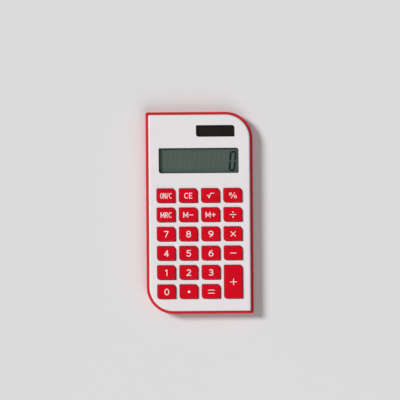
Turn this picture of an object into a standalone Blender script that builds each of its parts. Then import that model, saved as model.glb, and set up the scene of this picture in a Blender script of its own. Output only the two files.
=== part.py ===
"""A pocket calculator: two case halves, twenty-three keys on a dome mat, a display and a solar cell.

Run it with blender --background --python part.py, or from Blender's text editor. Lengths are in
metres. X runs to the right across the keys, Y towards the display end and Z out of the face. The
middle of the back lies at the origin, and the back rests on Z = 0.
"""

import math

import bmesh
import bpy

# --- Driving sizes ---------------------------------------------------------------------------

# The case is shaped like a leaf: two opposite corners are well rounded, the other two are sharp.
CASE_WIDTH = 0.0630
CASE_LENGTH = 0.1190
CASE_ROUND = 0.0160
CASE_SHARP = 0.0010
RIM = 0.0017  # how much of the back case shows round the front case
HALVES_GAP = 0.0002  # between the walls of the two halves

BACK_HEIGHT = 0.0072
BACK_FLOOR = 0.0014
BASE_FILLET = 0.0016
RIM_FILLET = 0.0005

FACE = 0.0016  # thickness of the front case's face
FRONT_WALL = 0.0013
FRONT_SHARP = 0.0008
FACE_FILLET = 0.0010

# Clearances
SEAT = 0.0003  # between a piece and what it rests on
PLAY = 0.0002  # beside a piece that lies in a frame
SLIDE = 0.0003  # round a piece that slides
APART = 0.0004  # between neighbours that never meet

# Keys
COLUMNS = 4
ROWS = 6
COLUMN_PITCH = 0.0131
ROW_PITCH = 0.0113
LAST_ROW_FROM_END = 0.0132
KEY_WIDTH = 0.0107
KEY_DEPTH = 0.0082
KEY_ROUND = 0.00175
KEY_SHARP = 0.00045
KEY_PROUD = 0.0013  # how far a key stands out of the face
KEY_TRAVEL = 0.0010
KEY_FILLET = 0.0005
KEY_GAP = 0.00025  # round a key in its hole
KEY_FLANGE = 0.0008
KEY_WALL = 0.0010
KEY_ROOF = 0.0012
PLUNGER_RADIUS = 0.0018

# Dome mat
MAT_SHEET = 0.0008
DOME_RADIUS = 0.0036
DOME_TOP_RADIUS = 0.0022
DOME_SPARE = 0.0002  # height that a fully pressed dome keeps above its sheet
DOME_WALL = 0.0005
PILL_RADIUS = 0.0010

# Main board
BOARD = 0.0010
TAIL_CLEAR = 0.00035  # from the cell's shoulder up to the contact's tail, which lies on the board
SUPPORT_RADIUS = 0.0010
BOARD_BELOW = 0.0049  # from the last row's middle line down to the board's foot
BOARD_EDGE = 0.0008  # how much of the board shows below the dome mat
TAB_FROM_SIDE = 0.0160  # where the tab at the board's foot starts, from the left side of the case
TAB_WIDTH = 0.0355
TAB_DEPTH = 0.0048

# Display and its window
DISPLAY_WIDTH = 0.0470
DISPLAY_DEPTH = 0.0148
DISPLAY_FROM_END = 0.0287
DISPLAY_SHIFT = -0.0003
DISPLAY_ROUND = 0.0016
DISPLAY_SHARP = 0.0006
PANE = 0.0009
PANE_LAP = 0.0012  # how far a window reaches under the face
PANE_LIP = 0.0007  # thickness of the face over a window
FRAME_WALL = 0.0010
FRAME_CLEAR = 0.0009  # from the board up to the display's frame
GLASS = 0.0007
LEDGE = 0.0018  # strip of the front glass that holds the display's contacts
GLUE = 0.0002  # between the display's layers
REFLECTOR = 0.0002
FOAM_INSET = 0.0015

# Solar cell and its window
SOLAR_WIDTH = 0.0227
SOLAR_DEPTH = 0.0068
SOLAR_FROM_END = 0.0113
SOLAR_FROM_SIDE = 0.0219
SOLAR_ROUND = 0.0017
SOLAR_SHARP = 0.0004
SOLAR_CELL = 0.0011
WIRE_RADIUS = 0.00035
WIRE_SPACING = 0.0160

# Button cell, its well in the back case and the door under it
CELL_DIAMETER = 0.0116
CELL_HEIGHT = 0.00305
CELL_CAP_DIAMETER = 0.0086
CELL_CAP_HEIGHT = 0.0005
CELL_SKIN = 0.0006  # wall of the can, beside the sealing ring
CELL_EDGE = 0.0002  # bevel round the can and the cap
WELL_WALL = 0.0010
WELL_ROOF = 0.0007
WELL_HEADROOM = 0.0009  # over the cell's contact
CONTACT = 0.00025
CONTACT_WIDTH = 0.0030
CONTACT_TAIL = 0.0015  # how far the cap's contact reaches over the board
DOOR_RIB = 0.0010
DOOR_RIB_HEIGHT = 0.0012
DOOR_TONGUE = 0.0011
DOOR_TONGUE_THICKNESS = 0.0008
DOOR_LIP_HEIGHT = 0.0031

# Screws
BOSS_RADIUS = 0.0016
POST_RADIUS = 0.0022
CASE_HEAD_RADIUS = 0.0014
CASE_HEAD = 0.0009
CASE_HEAD_POCKET = 0.0017  # depth of the pocket that its head lies in
CASE_SHANK_RADIUS = 0.0008
CASE_SCREW_REACH = 0.0060
BOARD_HEAD_RADIUS = 0.0012
BOARD_HEAD = 0.0006
BOARD_SHANK_RADIUS = 0.0006
BOARD_SCREW_REACH = 0.0040
BOARD_SCREW_X = 0.0169  # from the middle out to the upper board screws
THREAD_GAP = 0.0002  # round a shank in its pilot hole
HOLE_GAP = 0.0003  # round a shank or a head in a clearance hole
CROSS_REACH = 0.62  # the cross in a head, as shares of the head's radius and height
CROSS_HALF = 0.16
CROSS_DEPTH = 0.6
HEAD_FLAT = 0.85  # the flat of a head inside its bevel, as a share of its radius
HEAD_BEVEL = 0.3  # height of that bevel, as a share of the head's
SCREW_TIP = 0.5  # the tip, as a share of the shank's radius

# Small parts on the board
CHIP_RADIUS = 0.0050
CHIP_HEIGHT = 0.0010
CHIP_BELOW = 0.0037  # from the display's middle line down to the chip's
CAPACITOR_SIZE = (0.0032, 0.0016, 0.0010)
DIODE_SIZE = (0.0020, 0.0012, 0.0008)
PARTS_SPACING = 0.0150

# How finely curves are divided
ROUND_STEPS = 8
SHARP_STEPS = 2
KEY_ROUND_STEPS = 3
KEY_SHARP_STEPS = 1
DOME_SIDES = 8
BOSS_SIDES = 12
DISC_SIDES = 24
CHIP_STEPS = 4
FILLET_STEPS = 3
SMALL_FILLET_STEPS = 2
WIRE_STEPS = 3
SMALLEST_RADIUS = 0.0001

# Finishes: colour, roughness, metallic, transmission
RED_CASE = ((0.62, 0.012, 0.020), 0.35, 0.0, 0.0)
WHITE_CASE = ((0.80, 0.79, 0.80), 0.38, 0.0, 0.0)
RED_KEY = ((0.60, 0.004, 0.016), 0.33, 0.0, 0.0)
SILICONE = ((0.62, 0.62, 0.60), 0.60, 0.0, 0.0)
LAMINATE = ((0.10, 0.28, 0.07), 0.50, 0.0, 0.0)
BLACK_RESIN = ((0.012, 0.012, 0.014), 0.40, 0.0, 0.0)
BROWN_PART = ((0.25, 0.18, 0.12), 0.50, 0.0, 0.0)
CLEAR_PLASTIC = ((0.75, 0.80, 0.78), 0.06, 0.0, 1.0)
DISPLAY_GLASS = ((0.30, 0.34, 0.31), 0.10, 0.0, 0.0)
REFLECTOR_FILM = ((0.45, 0.48, 0.45), 0.30, 0.0, 0.0)
FOAM = ((0.05, 0.05, 0.05), 0.90, 0.0, 0.0)
ZEBRA_RUBBER = ((0.35, 0.20, 0.22), 0.60, 0.0, 0.0)
SOLAR_GLASS = ((0.020, 0.012, 0.010), 0.15, 0.0, 0.0)
RED_WIRE = ((0.50, 0.010, 0.010), 0.50, 0.0, 0.0)
BLACK_WIRE = ((0.015, 0.015, 0.015), 0.50, 0.0, 0.0)
CELL_STEEL = ((0.60, 0.60, 0.58), 0.25, 1.0, 0.0)
SEAL_PLASTIC = ((0.02, 0.02, 0.02), 0.60, 0.0, 0.0)
CONTACT_METAL = ((0.65, 0.62, 0.52), 0.30, 1.0, 0.0)
SCREW_STEEL = ((0.50, 0.50, 0.50), 0.30, 1.0, 0.0)

# --- Heights, from the back upwards ------------------------------------------------------------

CELL_LOW = BACK_FLOOR + SEAT
CELL_HIGH = CELL_LOW + CELL_HEIGHT
CELL_SHOULDER = CELL_HIGH - CELL_CAP_HEIGHT
BOARD_HIGH = CELL_SHOULDER + TAIL_CLEAR - SEAT
BOARD_LOW = BOARD_HIGH - BOARD
MAT_LOW = BOARD_HIGH + SEAT
MAT_HIGH = MAT_LOW + MAT_SHEET
DOME_HIGH = MAT_HIGH + KEY_TRAVEL + DOME_SPARE
KEY_LOW = DOME_HIGH + SEAT
FLANGE_HIGH = KEY_LOW + KEY_FLANGE
FACE_LOW = FLANGE_HIGH + SEAT
FACE_HIGH = FACE_LOW + FACE
KEY_HIGH = FACE_HIGH + KEY_PROUD
BOSS_LOW = BOARD_HIGH + SEAT
SKIRT_LOW = BOSS_LOW + SEAT
PANE_HIGH = FACE_HIGH - PANE_LIP - SEAT
PANE_LOW = PANE_HIGH - PANE
PILOT_HIGH = FACE_LOW - SEAT

# --- Places in plan ----------------------------------------------------------------------------

FRONT_WIDTH = CASE_WIDTH - 2 * RIM
FRONT_LENGTH = CASE_LENGTH - 2 * RIM
FRONT_ROUND = CASE_ROUND - RIM
INSIDE_X = FRONT_WIDTH / 2 - FRONT_WALL
INSIDE_Y = FRONT_LENGTH / 2 - FRONT_WALL
CORNER_X = CASE_WIDTH / 2 - CASE_ROUND
CORNER_Y = CASE_LENGTH / 2 - CASE_ROUND

# A key's flange reaches a third of the way across the narrower space between two keys.
KEY_LAP = min(COLUMN_PITCH - KEY_WIDTH, ROW_PITCH - KEY_DEPTH) / 3
LAST_ROW_Y = LAST_ROW_FROM_END - CASE_LENGTH / 2
BOARD_FOOT = LAST_ROW_Y - BOARD_BELOW
KEYS_TOP = LAST_ROW_Y + (ROWS - 1) * ROW_PITCH + KEY_DEPTH / 2 + KEY_LAP

DISPLAY_Y = CASE_LENGTH / 2 - DISPLAY_FROM_END
BED_WIDTH = DISPLAY_WIDTH + 2 * PANE_LAP
BED_DEPTH = DISPLAY_DEPTH + 2 * PANE_LAP + LEDGE
BED_Y = DISPLAY_Y - LEDGE / 2
FRAME_TOP = BED_Y + BED_DEPTH / 2 + PLAY + FRAME_WALL
FRAME_FOOT = BED_Y - BED_DEPTH / 2 - PLAY - FRAME_WALL

SOLAR_X = CASE_WIDTH / 2 - SOLAR_FROM_SIDE
SOLAR_Y = CASE_LENGTH / 2 - SOLAR_FROM_END

CORNER_REACH = FRONT_ROUND - FRONT_WALL - BOSS_RADIUS - APART
TOP_LEFT_SCREW = (BOSS_RADIUS + APART - INSIDE_X, INSIDE_Y - BOSS_RADIUS - APART)
MIDDLE_Y = (KEYS_TOP + FRAME_FOOT) / 2
MIDDLE_X = INSIDE_X - BOSS_RADIUS + APART

CELL_RADIUS = CELL_DIAMETER / 2
DOOR_HALF = CELL_RADIUS + SLIDE + DOOR_RIB
WELL_HALF = DOOR_HALF + DOOR_TONGUE + SLIDE
CELL_X = TOP_LEFT_SCREW[0] + BOSS_RADIUS + APART + WELL_WALL + WELL_HALF
CELL_Y = FRAME_TOP + 2 * SLIDE + WELL_WALL + APART + CELL_RADIUS
WELL_FOOT = CELL_Y - CELL_RADIUS - APART
WELL_TOP = CELL_Y + CELL_RADIUS + 2 * APART
SIDE_TAIL_X = CELL_X + CELL_RADIUS + SEAT + 3 * CONTACT
SIDE_CONTACT_LOW = BACK_FLOOR + DOOR_RIB_HEIGHT + 2 * SLIDE
SIDE_CONTACT_HIGH = CELL_HIGH - SEAT
WELL_CEILING = CELL_HIGH + SEAT + WELL_HEADROOM
TONGUE_LOW = BACK_FLOOR + PLAY
TUNNEL_HIGH = TONGUE_LOW + DOOR_TONGUE_THICKNESS + SLIDE

BOARD_HALF = MIDDLE_X - POST_RADIUS - SLIDE
BOARD_TOP = FRAME_TOP
TAB_LEFT = TAB_FROM_SIDE - CASE_WIDTH / 2
TAB_FOOT = BOARD_FOOT - TAB_DEPTH
TAB_SCREW_Y = TAB_FOOT + BOSS_RADIUS + SLIDE


def from_corner(side, degrees):
    """A screw's place on the arc inside a round corner: side is 1 at the display end, -1 at the foot."""
    turn = math.radians(degrees)
    across = side * (CORNER_X + CORNER_REACH * math.cos(turn))
    along = side * (CORNER_Y + CORNER_REACH * math.sin(turn))
    return across, along


CASE_SCREWS = (
    TOP_LEFT_SCREW,
    from_corner(1, 20),
    (-MIDDLE_X, MIDDLE_Y),
    (MIDDLE_X, MIDDLE_Y),
    from_corner(-1, 70),
    (INSIDE_X - POST_RADIUS, POST_RADIUS - INSIDE_Y),
)
BOARD_SCREWS = (
    (-BOARD_SCREW_X, MIDDLE_Y),
    (BOARD_SCREW_X, MIDDLE_Y),
    (TAB_LEFT + BOSS_RADIUS + DOME_RADIUS, TAB_SCREW_Y),
    (TAB_LEFT + TAB_WIDTH - BOSS_RADIUS - DOME_RADIUS, TAB_SCREW_Y),
)

# Each key: its name, column and row, counted from the upper left, and how many rows it covers.
KEYS = (
    ("key_on_clear", 0, 0, 1),
    ("key_clear_entry", 1, 0, 1),
    ("key_root", 2, 0, 1),
    ("key_percent", 3, 0, 1),
    ("key_memory_recall", 0, 1, 1),
    ("key_memory_minus", 1, 1, 1),
    ("key_memory_plus", 2, 1, 1),
    ("key_divide", 3, 1, 1),
    ("key_7", 0, 2, 1),
    ("key_8", 1, 2, 1),
    ("key_9", 2, 2, 1),
    ("key_multiply", 3, 2, 1),
    ("key_4", 0, 3, 1),
    ("key_5", 1, 3, 1),
    ("key_6", 2, 3, 1),
    ("key_minus", 3, 3, 1),
    ("key_1", 0, 4, 1),
    ("key_2", 1, 4, 1),
    ("key_3", 2, 4, 1),
    ("key_plus", 3, 4, 2),
    ("key_0", 0, 5, 1),
    ("key_point", 1, 5, 1),
    ("key_equals", 2, 5, 1),
)


def key_place(column, row, rows):
    """The middle of a key in plan."""
    across = (column - (COLUMNS - 1) / 2) * COLUMN_PITCH
    along = LAST_ROW_Y + (ROWS - row - (rows + 1) / 2) * ROW_PITCH
    return across, along


def key_depth(rows):
    """A key that covers more rows is longer by their pitch."""
    return KEY_DEPTH + (rows - 1) * ROW_PITCH


# --- Outlines: lists of points in plan, anticlockwise ----------------------------------------------


def rounded_box(width, depth, radii, steps, centre=(0.0, 0.0)):
    """A rectangle with rounded corners; radii and steps go anticlockwise from the upper right."""
    points = []
    ends = ((1, 1), (-1, 1), (-1, -1), (1, -1))
    for quarter in range(4):
        side, end = ends[quarter]
        radius = max(radii[quarter], SMALLEST_RADIUS)
        x = centre[0] + side * (width / 2 - radius)
        y = centre[1] + end * (depth / 2 - radius)
        for step in range(steps[quarter] + 1):
            turn = math.pi / 2 * (quarter + step / steps[quarter])
            points.append((x + radius * math.cos(turn), y + radius * math.sin(turn)))
    return points


def leaf(width, depth, round_radius, sharp_radius, inset=0.0, centre=(0.0, 0.0), coarse=False):
    """The leaf outline: round at the upper right and lower left, sharp at the other two corners."""
    radii = (round_radius - inset, sharp_radius - inset) * 2
    steps = (KEY_ROUND_STEPS, KEY_SHARP_STEPS) * 2 if coarse else (ROUND_STEPS, SHARP_STEPS) * 2
    return rounded_box(width - 2 * inset, depth - 2 * inset, radii, steps, centre)


def box(width, depth, centre=(0.0, 0.0)):
    """A plain rectangle."""
    x, y = centre
    half_x, half_y = width / 2, depth / 2
    left, right, foot, top = x - half_x, x + half_x, y - half_y, y + half_y
    return [(right, top), (left, top), (left, foot), (right, foot)]


def span(left, right, foot, top):
    """A plain rectangle between two X and two Y values."""
    return box(right - left, top - foot, ((left + right) / 2, (foot + top) / 2))


def circle(radius, sides, centre=(0.0, 0.0)):
    """A regular polygon that stands for a circle."""
    turns = [2 * math.pi * (side + 0.5) / sides for side in range(sides)]
    return [(centre[0] + radius * math.cos(t), centre[1] + radius * math.sin(t)) for t in turns]


def drawn_in(outline, radius):
    """A circle whose points lie in the same directions from the middle as an outline's points do."""
    lengths = [math.hypot(x, y) for x, y in outline]
    return [(radius * x / far, radius * y / far) for (x, y), far in zip(outline, lengths)]


def strip(path, thickness):
    """The outline of a thin strip of metal along a path."""
    sides = []
    for side in (1, -1):
        for number in range(len(path)):
            before = path[max(number - 1, 0)]
            after = path[min(number + 1, len(path) - 1)]
            along, up = after[0] - before[0], after[1] - before[1]
            far = math.hypot(along, up)
            shift = side * thickness / 2
            sides.append((path[number][0] + shift * up / far, path[number][1] - shift * along / far))
    return sides[: len(path)] + sides[len(path) :][::-1]


# --- Solids ------------------------------------------------------------------------------------
# A solid is a list of rings, and a ring is an outline with its height. All rings of one solid have
# as many points. Neighbouring rings are joined by quads, and the first and the last are capped.


def prism(outline, low, high):
    """A solid with straight sides."""
    return [(outline, low), (outline, high)]


def turned(profile, sides, centre=(0.0, 0.0)):
    """A round solid; the profile is a list of (radius, height)."""
    return [(circle(radius, sides, centre), height) for radius, height in profile]


def fillet(radius, steps):
    """(inset, drop) down a rounded top edge, from the side's upper end to the flat top."""
    turns = [math.pi / 2 * step / steps for step in range(steps + 1)]
    return [(radius * (1 - math.cos(t)), radius * (1 - math.sin(t))) for t in turns]


def built(name, solids, along="Z"):
    """An object that holds these solids; along is the world axis that their heights follow."""
    mesh = bmesh.new()
    for rings in solids:
        levels = []
        for outline, height in rings:
            corners = [(height, a, b) if along == "X" else (a, b, height) for a, b in outline]
            levels.append([mesh.verts.new(corner) for corner in corners])
        count = len(levels[0])
        for lower, upper in zip(levels, levels[1:]):
            for point in range(count):
                after = (point + 1) % count
                mesh.faces.new((lower[point], lower[after], upper[after], upper[point]))
        mesh.faces.new(levels[0][::-1])
        mesh.faces.new(levels[-1])
    bmesh.ops.recalc_face_normals(mesh, faces=mesh.faces)
    data = bpy.data.meshes.new(name)
    mesh.to_mesh(data)
    mesh.free()
    data.shade_smooth()
    data.set_sharp_from_angle(angle=math.radians(35))
    return placed(name, data)


def placed(name, data, place=(0.0, 0.0, 0.0)):
    """A new object of this name that shows the mesh or curve at this place."""
    item = bpy.data.objects.new(name, data)
    item.location = place
    bpy.context.scene.collection.objects.link(item)
    return item


def combine(target, operation, name, solids, along="Z"):
    """Joins solids to the target or cuts them out of it, with an exact Boolean."""
    helper = built(f"{target.name}_{name}", solids, along)
    helper.parent = target
    helper.hide_render = True
    helper.display_type = "WIRE"
    modifier = target.modifiers.new(name, "BOOLEAN")
    modifier.operation = operation
    modifier.solver = "EXACT"
    modifier.object = helper


def dress(item, finish):
    """Gives an object a plain material of its own."""
    colour, roughness, metallic, transmission = finish
    material = bpy.data.materials.new(item.name)
    material.use_nodes = True
    shader = material.node_tree.nodes["Principled BSDF"]
    shader.inputs["Base Color"].default_value = (*colour, 1.0)
    shader.inputs["Roughness"].default_value = roughness
    shader.inputs["Metallic"].default_value = metallic
    shader.inputs["Transmission Weight"].default_value = transmission
    material.diffuse_color = (*colour, 1.0)
    item.data.materials.append(material)


# --- Sub-parts ---------------------------------------------------------------------------------


def screw_rings(place, head_low, head, head_radius, shank_radius, reach):
    """A screw that points up: a flat head with a cross in it, and a plain shank for its thread."""
    arm, half = CROSS_REACH * head_radius, CROSS_HALF * head_radius
    cross = [(arm, half), (half, half), (half, arm), (-half, arm), (-half, half), (-arm, half)]
    cross += [(-x, -y) for x, y in cross]
    cross = [(place[0] + x, place[1] + y) for x, y in cross]
    turns = [math.atan2(y - place[1], x - place[0]) for x, y in cross]

    def ring(radius):
        return [(place[0] + radius * math.cos(t), place[1] + radius * math.sin(t)) for t in turns]

    seat = head_low + head
    return [
        (cross, head_low + CROSS_DEPTH * head),
        (cross, head_low),
        (ring(HEAD_FLAT * head_radius), head_low),
        (ring(head_radius), head_low + HEAD_BEVEL * head),
        (ring(head_radius), seat),
        (ring(shank_radius), seat),
        (ring(shank_radius), seat + reach - shank_radius),
        (ring(SCREW_TIP * shank_radius), seat + reach),
    ]


def make_back_case():
    """The red half: a tub with posts for the screws, supports for the board and a well for the cell."""
    wall = RIM - HALVES_GAP
    rings = fillet(BASE_FILLET, FILLET_STEPS)[::-1]
    rings += [(inset, BACK_HEIGHT - drop) for inset, drop in fillet(RIM_FILLET, SMALL_FILLET_STEPS)]
    rings += [(wall, BACK_HEIGHT), (wall, BACK_FLOOR)]
    shell = [(leaf(CASE_WIDTH, CASE_LENGTH, CASE_ROUND, CASE_SHARP, inset), z) for inset, z in rings]
    case = built("back_case", [shell])

    sunk = BACK_FLOOR / 2
    posts = [prism(circle(POST_RADIUS, BOSS_SIDES, place), sunk, BOARD_HIGH) for place in CASE_SCREWS]
    supports = []
    for column in (-1, 1):
        for row in range(0, ROWS, 2):
            place = (column * COLUMN_PITCH, LAST_ROW_Y + (row + 0.5) * ROW_PITCH)
            supports.append(prism(circle(SUPPORT_RADIUS, DOME_SIDES, place), sunk, BOARD_LOW - SEAT))
    combine(case, "UNION", "posts", posts + supports)

    left, right = CELL_X - WELL_HALF, CELL_X + WELL_HALF
    block = span(left - WELL_WALL, right + WELL_WALL, WELL_FOOT - WELL_WALL, WELL_TOP + WELL_WALL)
    combine(case, "UNION", "well", [prism(block, sunk, WELL_CEILING + WELL_ROOF)])
    hollow = span(left, right, WELL_FOOT, WELL_TOP)
    combine(case, "DIFFERENCE", "well_hollow", [prism(hollow, BACK_FLOOR, WELL_CEILING)])

    end = CASE_LENGTH / 2
    tunnel = span(left, right, WELL_FOOT, end + RIM)
    combine(case, "DIFFERENCE", "door_tunnel", [prism(tunnel, BACK_FLOOR, TUNNEL_HIGH)])
    opening = span(CELL_X - DOOR_HALF - SLIDE, CELL_X + DOOR_HALF + SLIDE, WELL_FOOT, end + 2 * RIM)
    notch = [prism(opening, -BACK_FLOOR, DOOR_LIP_HEIGHT + SLIDE)]
    combine(case, "DIFFERENCE", "door_opening", notch)

    cap_slot = box(CONTACT_WIDTH + 2 * SLIDE, 4 * WELL_WALL, (CELL_X, WELL_FOOT))
    side_slot = box(CONTACT + 2 * SLIDE, 4 * WELL_WALL, (SIDE_TAIL_X, WELL_FOOT))
    slots = [
        prism(cap_slot, BOARD_HIGH, BOARD_HIGH + 2 * SEAT + CONTACT),
        prism(side_slot, SIDE_CONTACT_LOW - SLIDE, SIDE_CONTACT_HIGH + SLIDE),
    ]
    combine(case, "DIFFERENCE", "contact_slots", slots)

    holes = []
    for place in CASE_SCREWS:
        pocket, hole = CASE_HEAD_RADIUS + HOLE_GAP, CASE_SHANK_RADIUS + HOLE_GAP
        profile = [(pocket, -BACK_FLOOR), (pocket, CASE_HEAD_POCKET)]
        profile += [(hole, CASE_HEAD_POCKET), (hole, FACE_LOW)]
        holes.append(turned(profile, BOSS_SIDES, place))
    combine(case, "DIFFERENCE", "screw_holes", holes)
    dress(case, RED_CASE)


def make_front_case():
    """The white half: a face with the key holes and two windows' openings, frames and bosses behind it."""
    rings = [(FRONT_WALL, FACE_LOW), (FRONT_WALL, SKIRT_LOW), (0.0, SKIRT_LOW)]
    rings += [(inset, FACE_HIGH - drop) for inset, drop in fillet(FACE_FILLET, FILLET_STEPS)]
    shell = [(leaf(FRONT_WIDTH, FRONT_LENGTH, FRONT_ROUND, FRONT_SHARP, inset), z) for inset, z in rings]
    case = built("front_case", [shell])

    sunk = FACE_LOW + FACE / 4
    screws = CASE_SCREWS + BOARD_SCREWS
    bosses = [prism(circle(BOSS_RADIUS, BOSS_SIDES, place), BOSS_LOW, sunk) for place in screws]
    side = 2 * (PLAY + FRAME_WALL)
    frame = box(BED_WIDTH + side, BED_DEPTH + side, (DISPLAY_SHIFT, BED_Y))
    bosses.append(prism(frame, BOARD_HIGH + FRAME_CLEAR, sunk))
    solar = box(SOLAR_WIDTH + 2 * PANE_LAP + side, SOLAR_DEPTH + 2 * PANE_LAP + side, (SOLAR_X, SOLAR_Y))
    bosses.append(prism(solar, solar_low() - SEAT, sunk))
    combine(case, "UNION", "bosses", bosses)

    beds = [
        prism(bed_outline(PLAY), MAT_LOW, PANE_HIGH + SEAT),
        prism(solar_outline(PLAY), MAT_LOW, PANE_HIGH + SEAT),
    ]
    combine(case, "DIFFERENCE", "window_beds", beds)

    above = FACE_HIGH + KEY_PROUD
    centre = (DISPLAY_SHIFT, DISPLAY_Y)
    display = leaf(DISPLAY_WIDTH, DISPLAY_DEPTH, DISPLAY_ROUND, DISPLAY_SHARP, centre=centre, coarse=True)
    centre = (SOLAR_X, SOLAR_Y)
    solar = leaf(SOLAR_WIDTH, SOLAR_DEPTH, SOLAR_ROUND, SOLAR_SHARP, centre=centre, coarse=True)
    openings = [prism(display, PANE_HIGH, above), prism(solar, PANE_HIGH, above)]
    for _, column, row, rows in KEYS:
        centre = key_place(column, row, rows)
        hole = leaf(KEY_WIDTH, key_depth(rows), KEY_ROUND, KEY_SHARP, -KEY_GAP, centre, coarse=True)
        openings.append(prism(hole, FLANGE_HIGH, above))
    for places, radius in ((CASE_SCREWS, CASE_SHANK_RADIUS), (BOARD_SCREWS, BOARD_SHANK_RADIUS)):
        for place in places:
            openings.append(prism(circle(radius + THREAD_GAP, DOME_SIDES, place), BACK_FLOOR, PILOT_HIGH))
    combine(case, "DIFFERENCE", "openings", openings)
    dress(case, WHITE_CASE)


def key_mesh(name, depth):
    """A keycap: hollow from below, with a flange round its foot and a plunger in its middle."""
    roof = KEY_HIGH - KEY_ROOF

    def outline(inset):
        return leaf(KEY_WIDTH, depth, KEY_ROUND, KEY_SHARP, inset, coarse=True)

    plunger = drawn_in(outline(0.0), PLUNGER_RADIUS)
    rings = [(plunger, KEY_LOW), (plunger, roof), (outline(KEY_WALL), roof), (outline(KEY_WALL), KEY_LOW)]
    rings += [(outline(-KEY_LAP), KEY_LOW), (outline(-KEY_LAP), FLANGE_HIGH), (outline(0.0), FLANGE_HIGH)]
    rings += [(outline(inset), KEY_HIGH - drop) for inset, drop in fillet(KEY_FILLET, SMALL_FILLET_STEPS)]
    pattern = built(name, [rings])
    data = pattern.data
    bpy.data.objects.remove(pattern)
    return data


def make_keys():
    """Twenty-three keycaps; those that cover one row share a mesh."""
    meshes = {1: key_mesh("keycap", key_depth(1)), 2: key_mesh("tall_keycap", key_depth(2))}
    for name, column, row, rows in KEYS:
        cap = placed(name, meshes[rows].copy(), (*key_place(column, row, rows), 0.0))
        dress(cap, RED_KEY)


def make_dome_mat():
    """The silicone sheet under the keys: each dome is hollow, with a carbon pill inside over the board."""
    foot, top = BOARD_FOOT + BOARD_EDGE, KEYS_TOP - KEY_LAP
    sheet = span(-BOARD_HALF + SLIDE, BOARD_HALF - SLIDE, foot, top)
    mat = built("dome_mat", [prism(sheet, MAT_LOW, MAT_HIGH)])
    domes, hollows = [], []
    pill_low = BOARD_HIGH + KEY_TRAVEL
    for _, column, row, rows in KEYS:
        place = key_place(column, row, rows)
        middle = (MAT_LOW + MAT_HIGH) / 2
        profile = [(DOME_RADIUS, middle), (DOME_RADIUS, MAT_HIGH), (DOME_TOP_RADIUS, DOME_HIGH)]
        domes.append(turned(profile, DOME_SIDES, place))
        roof = DOME_HIGH - DOME_WALL
        inside = [
            (DOME_RADIUS - DOME_WALL, MAT_LOW - MAT_SHEET),
            (DOME_RADIUS - DOME_WALL, MAT_HIGH - DOME_WALL / 2),
            (DOME_TOP_RADIUS - DOME_WALL, roof),
            (PILL_RADIUS, roof),
            (PILL_RADIUS, pill_low),
        ]
        hollows.append(turned(inside, DOME_SIDES, place))
    combine(mat, "UNION", "domes", domes)
    combine(mat, "DIFFERENCE", "hollows", hollows)
    dress(mat, SILICONE)


def make_board():
    """The main board, with a tab at its foot for two of its screws."""
    tab_right = TAB_LEFT + TAB_WIDTH
    outline = [(BOARD_HALF, BOARD_TOP), (-BOARD_HALF, BOARD_TOP), (-BOARD_HALF, BOARD_FOOT)]
    outline += [(TAB_LEFT, BOARD_FOOT), (TAB_LEFT, TAB_FOOT), (tab_right, TAB_FOOT)]
    outline += [(tab_right, BOARD_FOOT), (BOARD_HALF, BOARD_FOOT)]
    board = built("main_board", [prism(outline, BOARD_LOW, BOARD_HIGH)])
    radius = BOARD_SHANK_RADIUS + HOLE_GAP
    holes = [prism(circle(radius, BOSS_SIDES, place), BACK_FLOOR, FACE_LOW) for place in BOARD_SCREWS]
    combine(board, "DIFFERENCE", "screw_holes", holes)
    dress(board, LAMINATE)

    low = BOARD_LOW - SEAT
    chip_y = DISPLAY_Y - CHIP_BELOW
    turns = [math.pi / 2 * step / CHIP_STEPS for step in range(CHIP_STEPS)]
    dome = [(CHIP_RADIUS * math.cos(turn), low - CHIP_HEIGHT * math.sin(turn)) for turn in turns]
    dress(built("chip_blob", [turned(dome, BOSS_SIDES, (0.0, chip_y))]), BLACK_RESIN)
    for name, size, side in (("smoothing_capacitor", CAPACITOR_SIZE, -1), ("clamp_diode", DIODE_SIZE, 1)):
        outline = box(size[0], size[1], (side * PARTS_SPACING, chip_y))
        dress(built(name, [prism(outline, low - size[2], low)]), BROWN_PART)


def bed_outline(extra):
    """The outline of the display's window and front glass, larger by extra all round."""
    return box(BED_WIDTH + 2 * extra, BED_DEPTH + 2 * extra, (DISPLAY_SHIFT, BED_Y))


def make_display():
    """The window, and under it the two glasses, the reflector, the zebra connector and a foam pad."""
    window = built("display_window", [prism(bed_outline(0.0), PANE_LOW, PANE_HIGH)])
    dress(window, CLEAR_PLASTIC)
    high = PANE_LOW - SEAT
    low = high - GLASS
    front = built("lcd_front_glass", [prism(bed_outline(0.0), low, high)])
    dress(front, DISPLAY_GLASS)
    ledge_low = low

    rear_depth = BED_DEPTH - LEDGE
    rear_y = BED_Y + LEDGE / 2
    rear = box(BED_WIDTH, rear_depth, (DISPLAY_SHIFT, rear_y))
    high = low - GLUE
    low = high - GLASS
    dress(built("lcd_rear_glass", [prism(rear, low, high)]), DISPLAY_GLASS)
    high = low - GLUE
    low = high - REFLECTOR
    dress(built("lcd_reflector", [prism(rear, low, high)]), REFLECTOR_FILM)
    high = low - GLUE
    pad = box(BED_WIDTH - 2 * FOAM_INSET, rear_depth - 2 * FOAM_INSET, (DISPLAY_SHIFT, rear_y))
    dress(built("lcd_foam_pad", [prism(pad, BOARD_HIGH + SEAT, high)]), FOAM)
    foot = BED_Y - BED_DEPTH / 2
    zebra = span(
        DISPLAY_SHIFT - BED_WIDTH / 2 + FOAM_INSET,
        DISPLAY_SHIFT + BED_WIDTH / 2 - FOAM_INSET,
        foot + PLAY,
        foot + LEDGE - SLIDE,
    )
    connector = built("zebra_connector", [prism(zebra, BOARD_HIGH + SEAT, ledge_low - SEAT)])
    dress(connector, ZEBRA_RUBBER)


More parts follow.
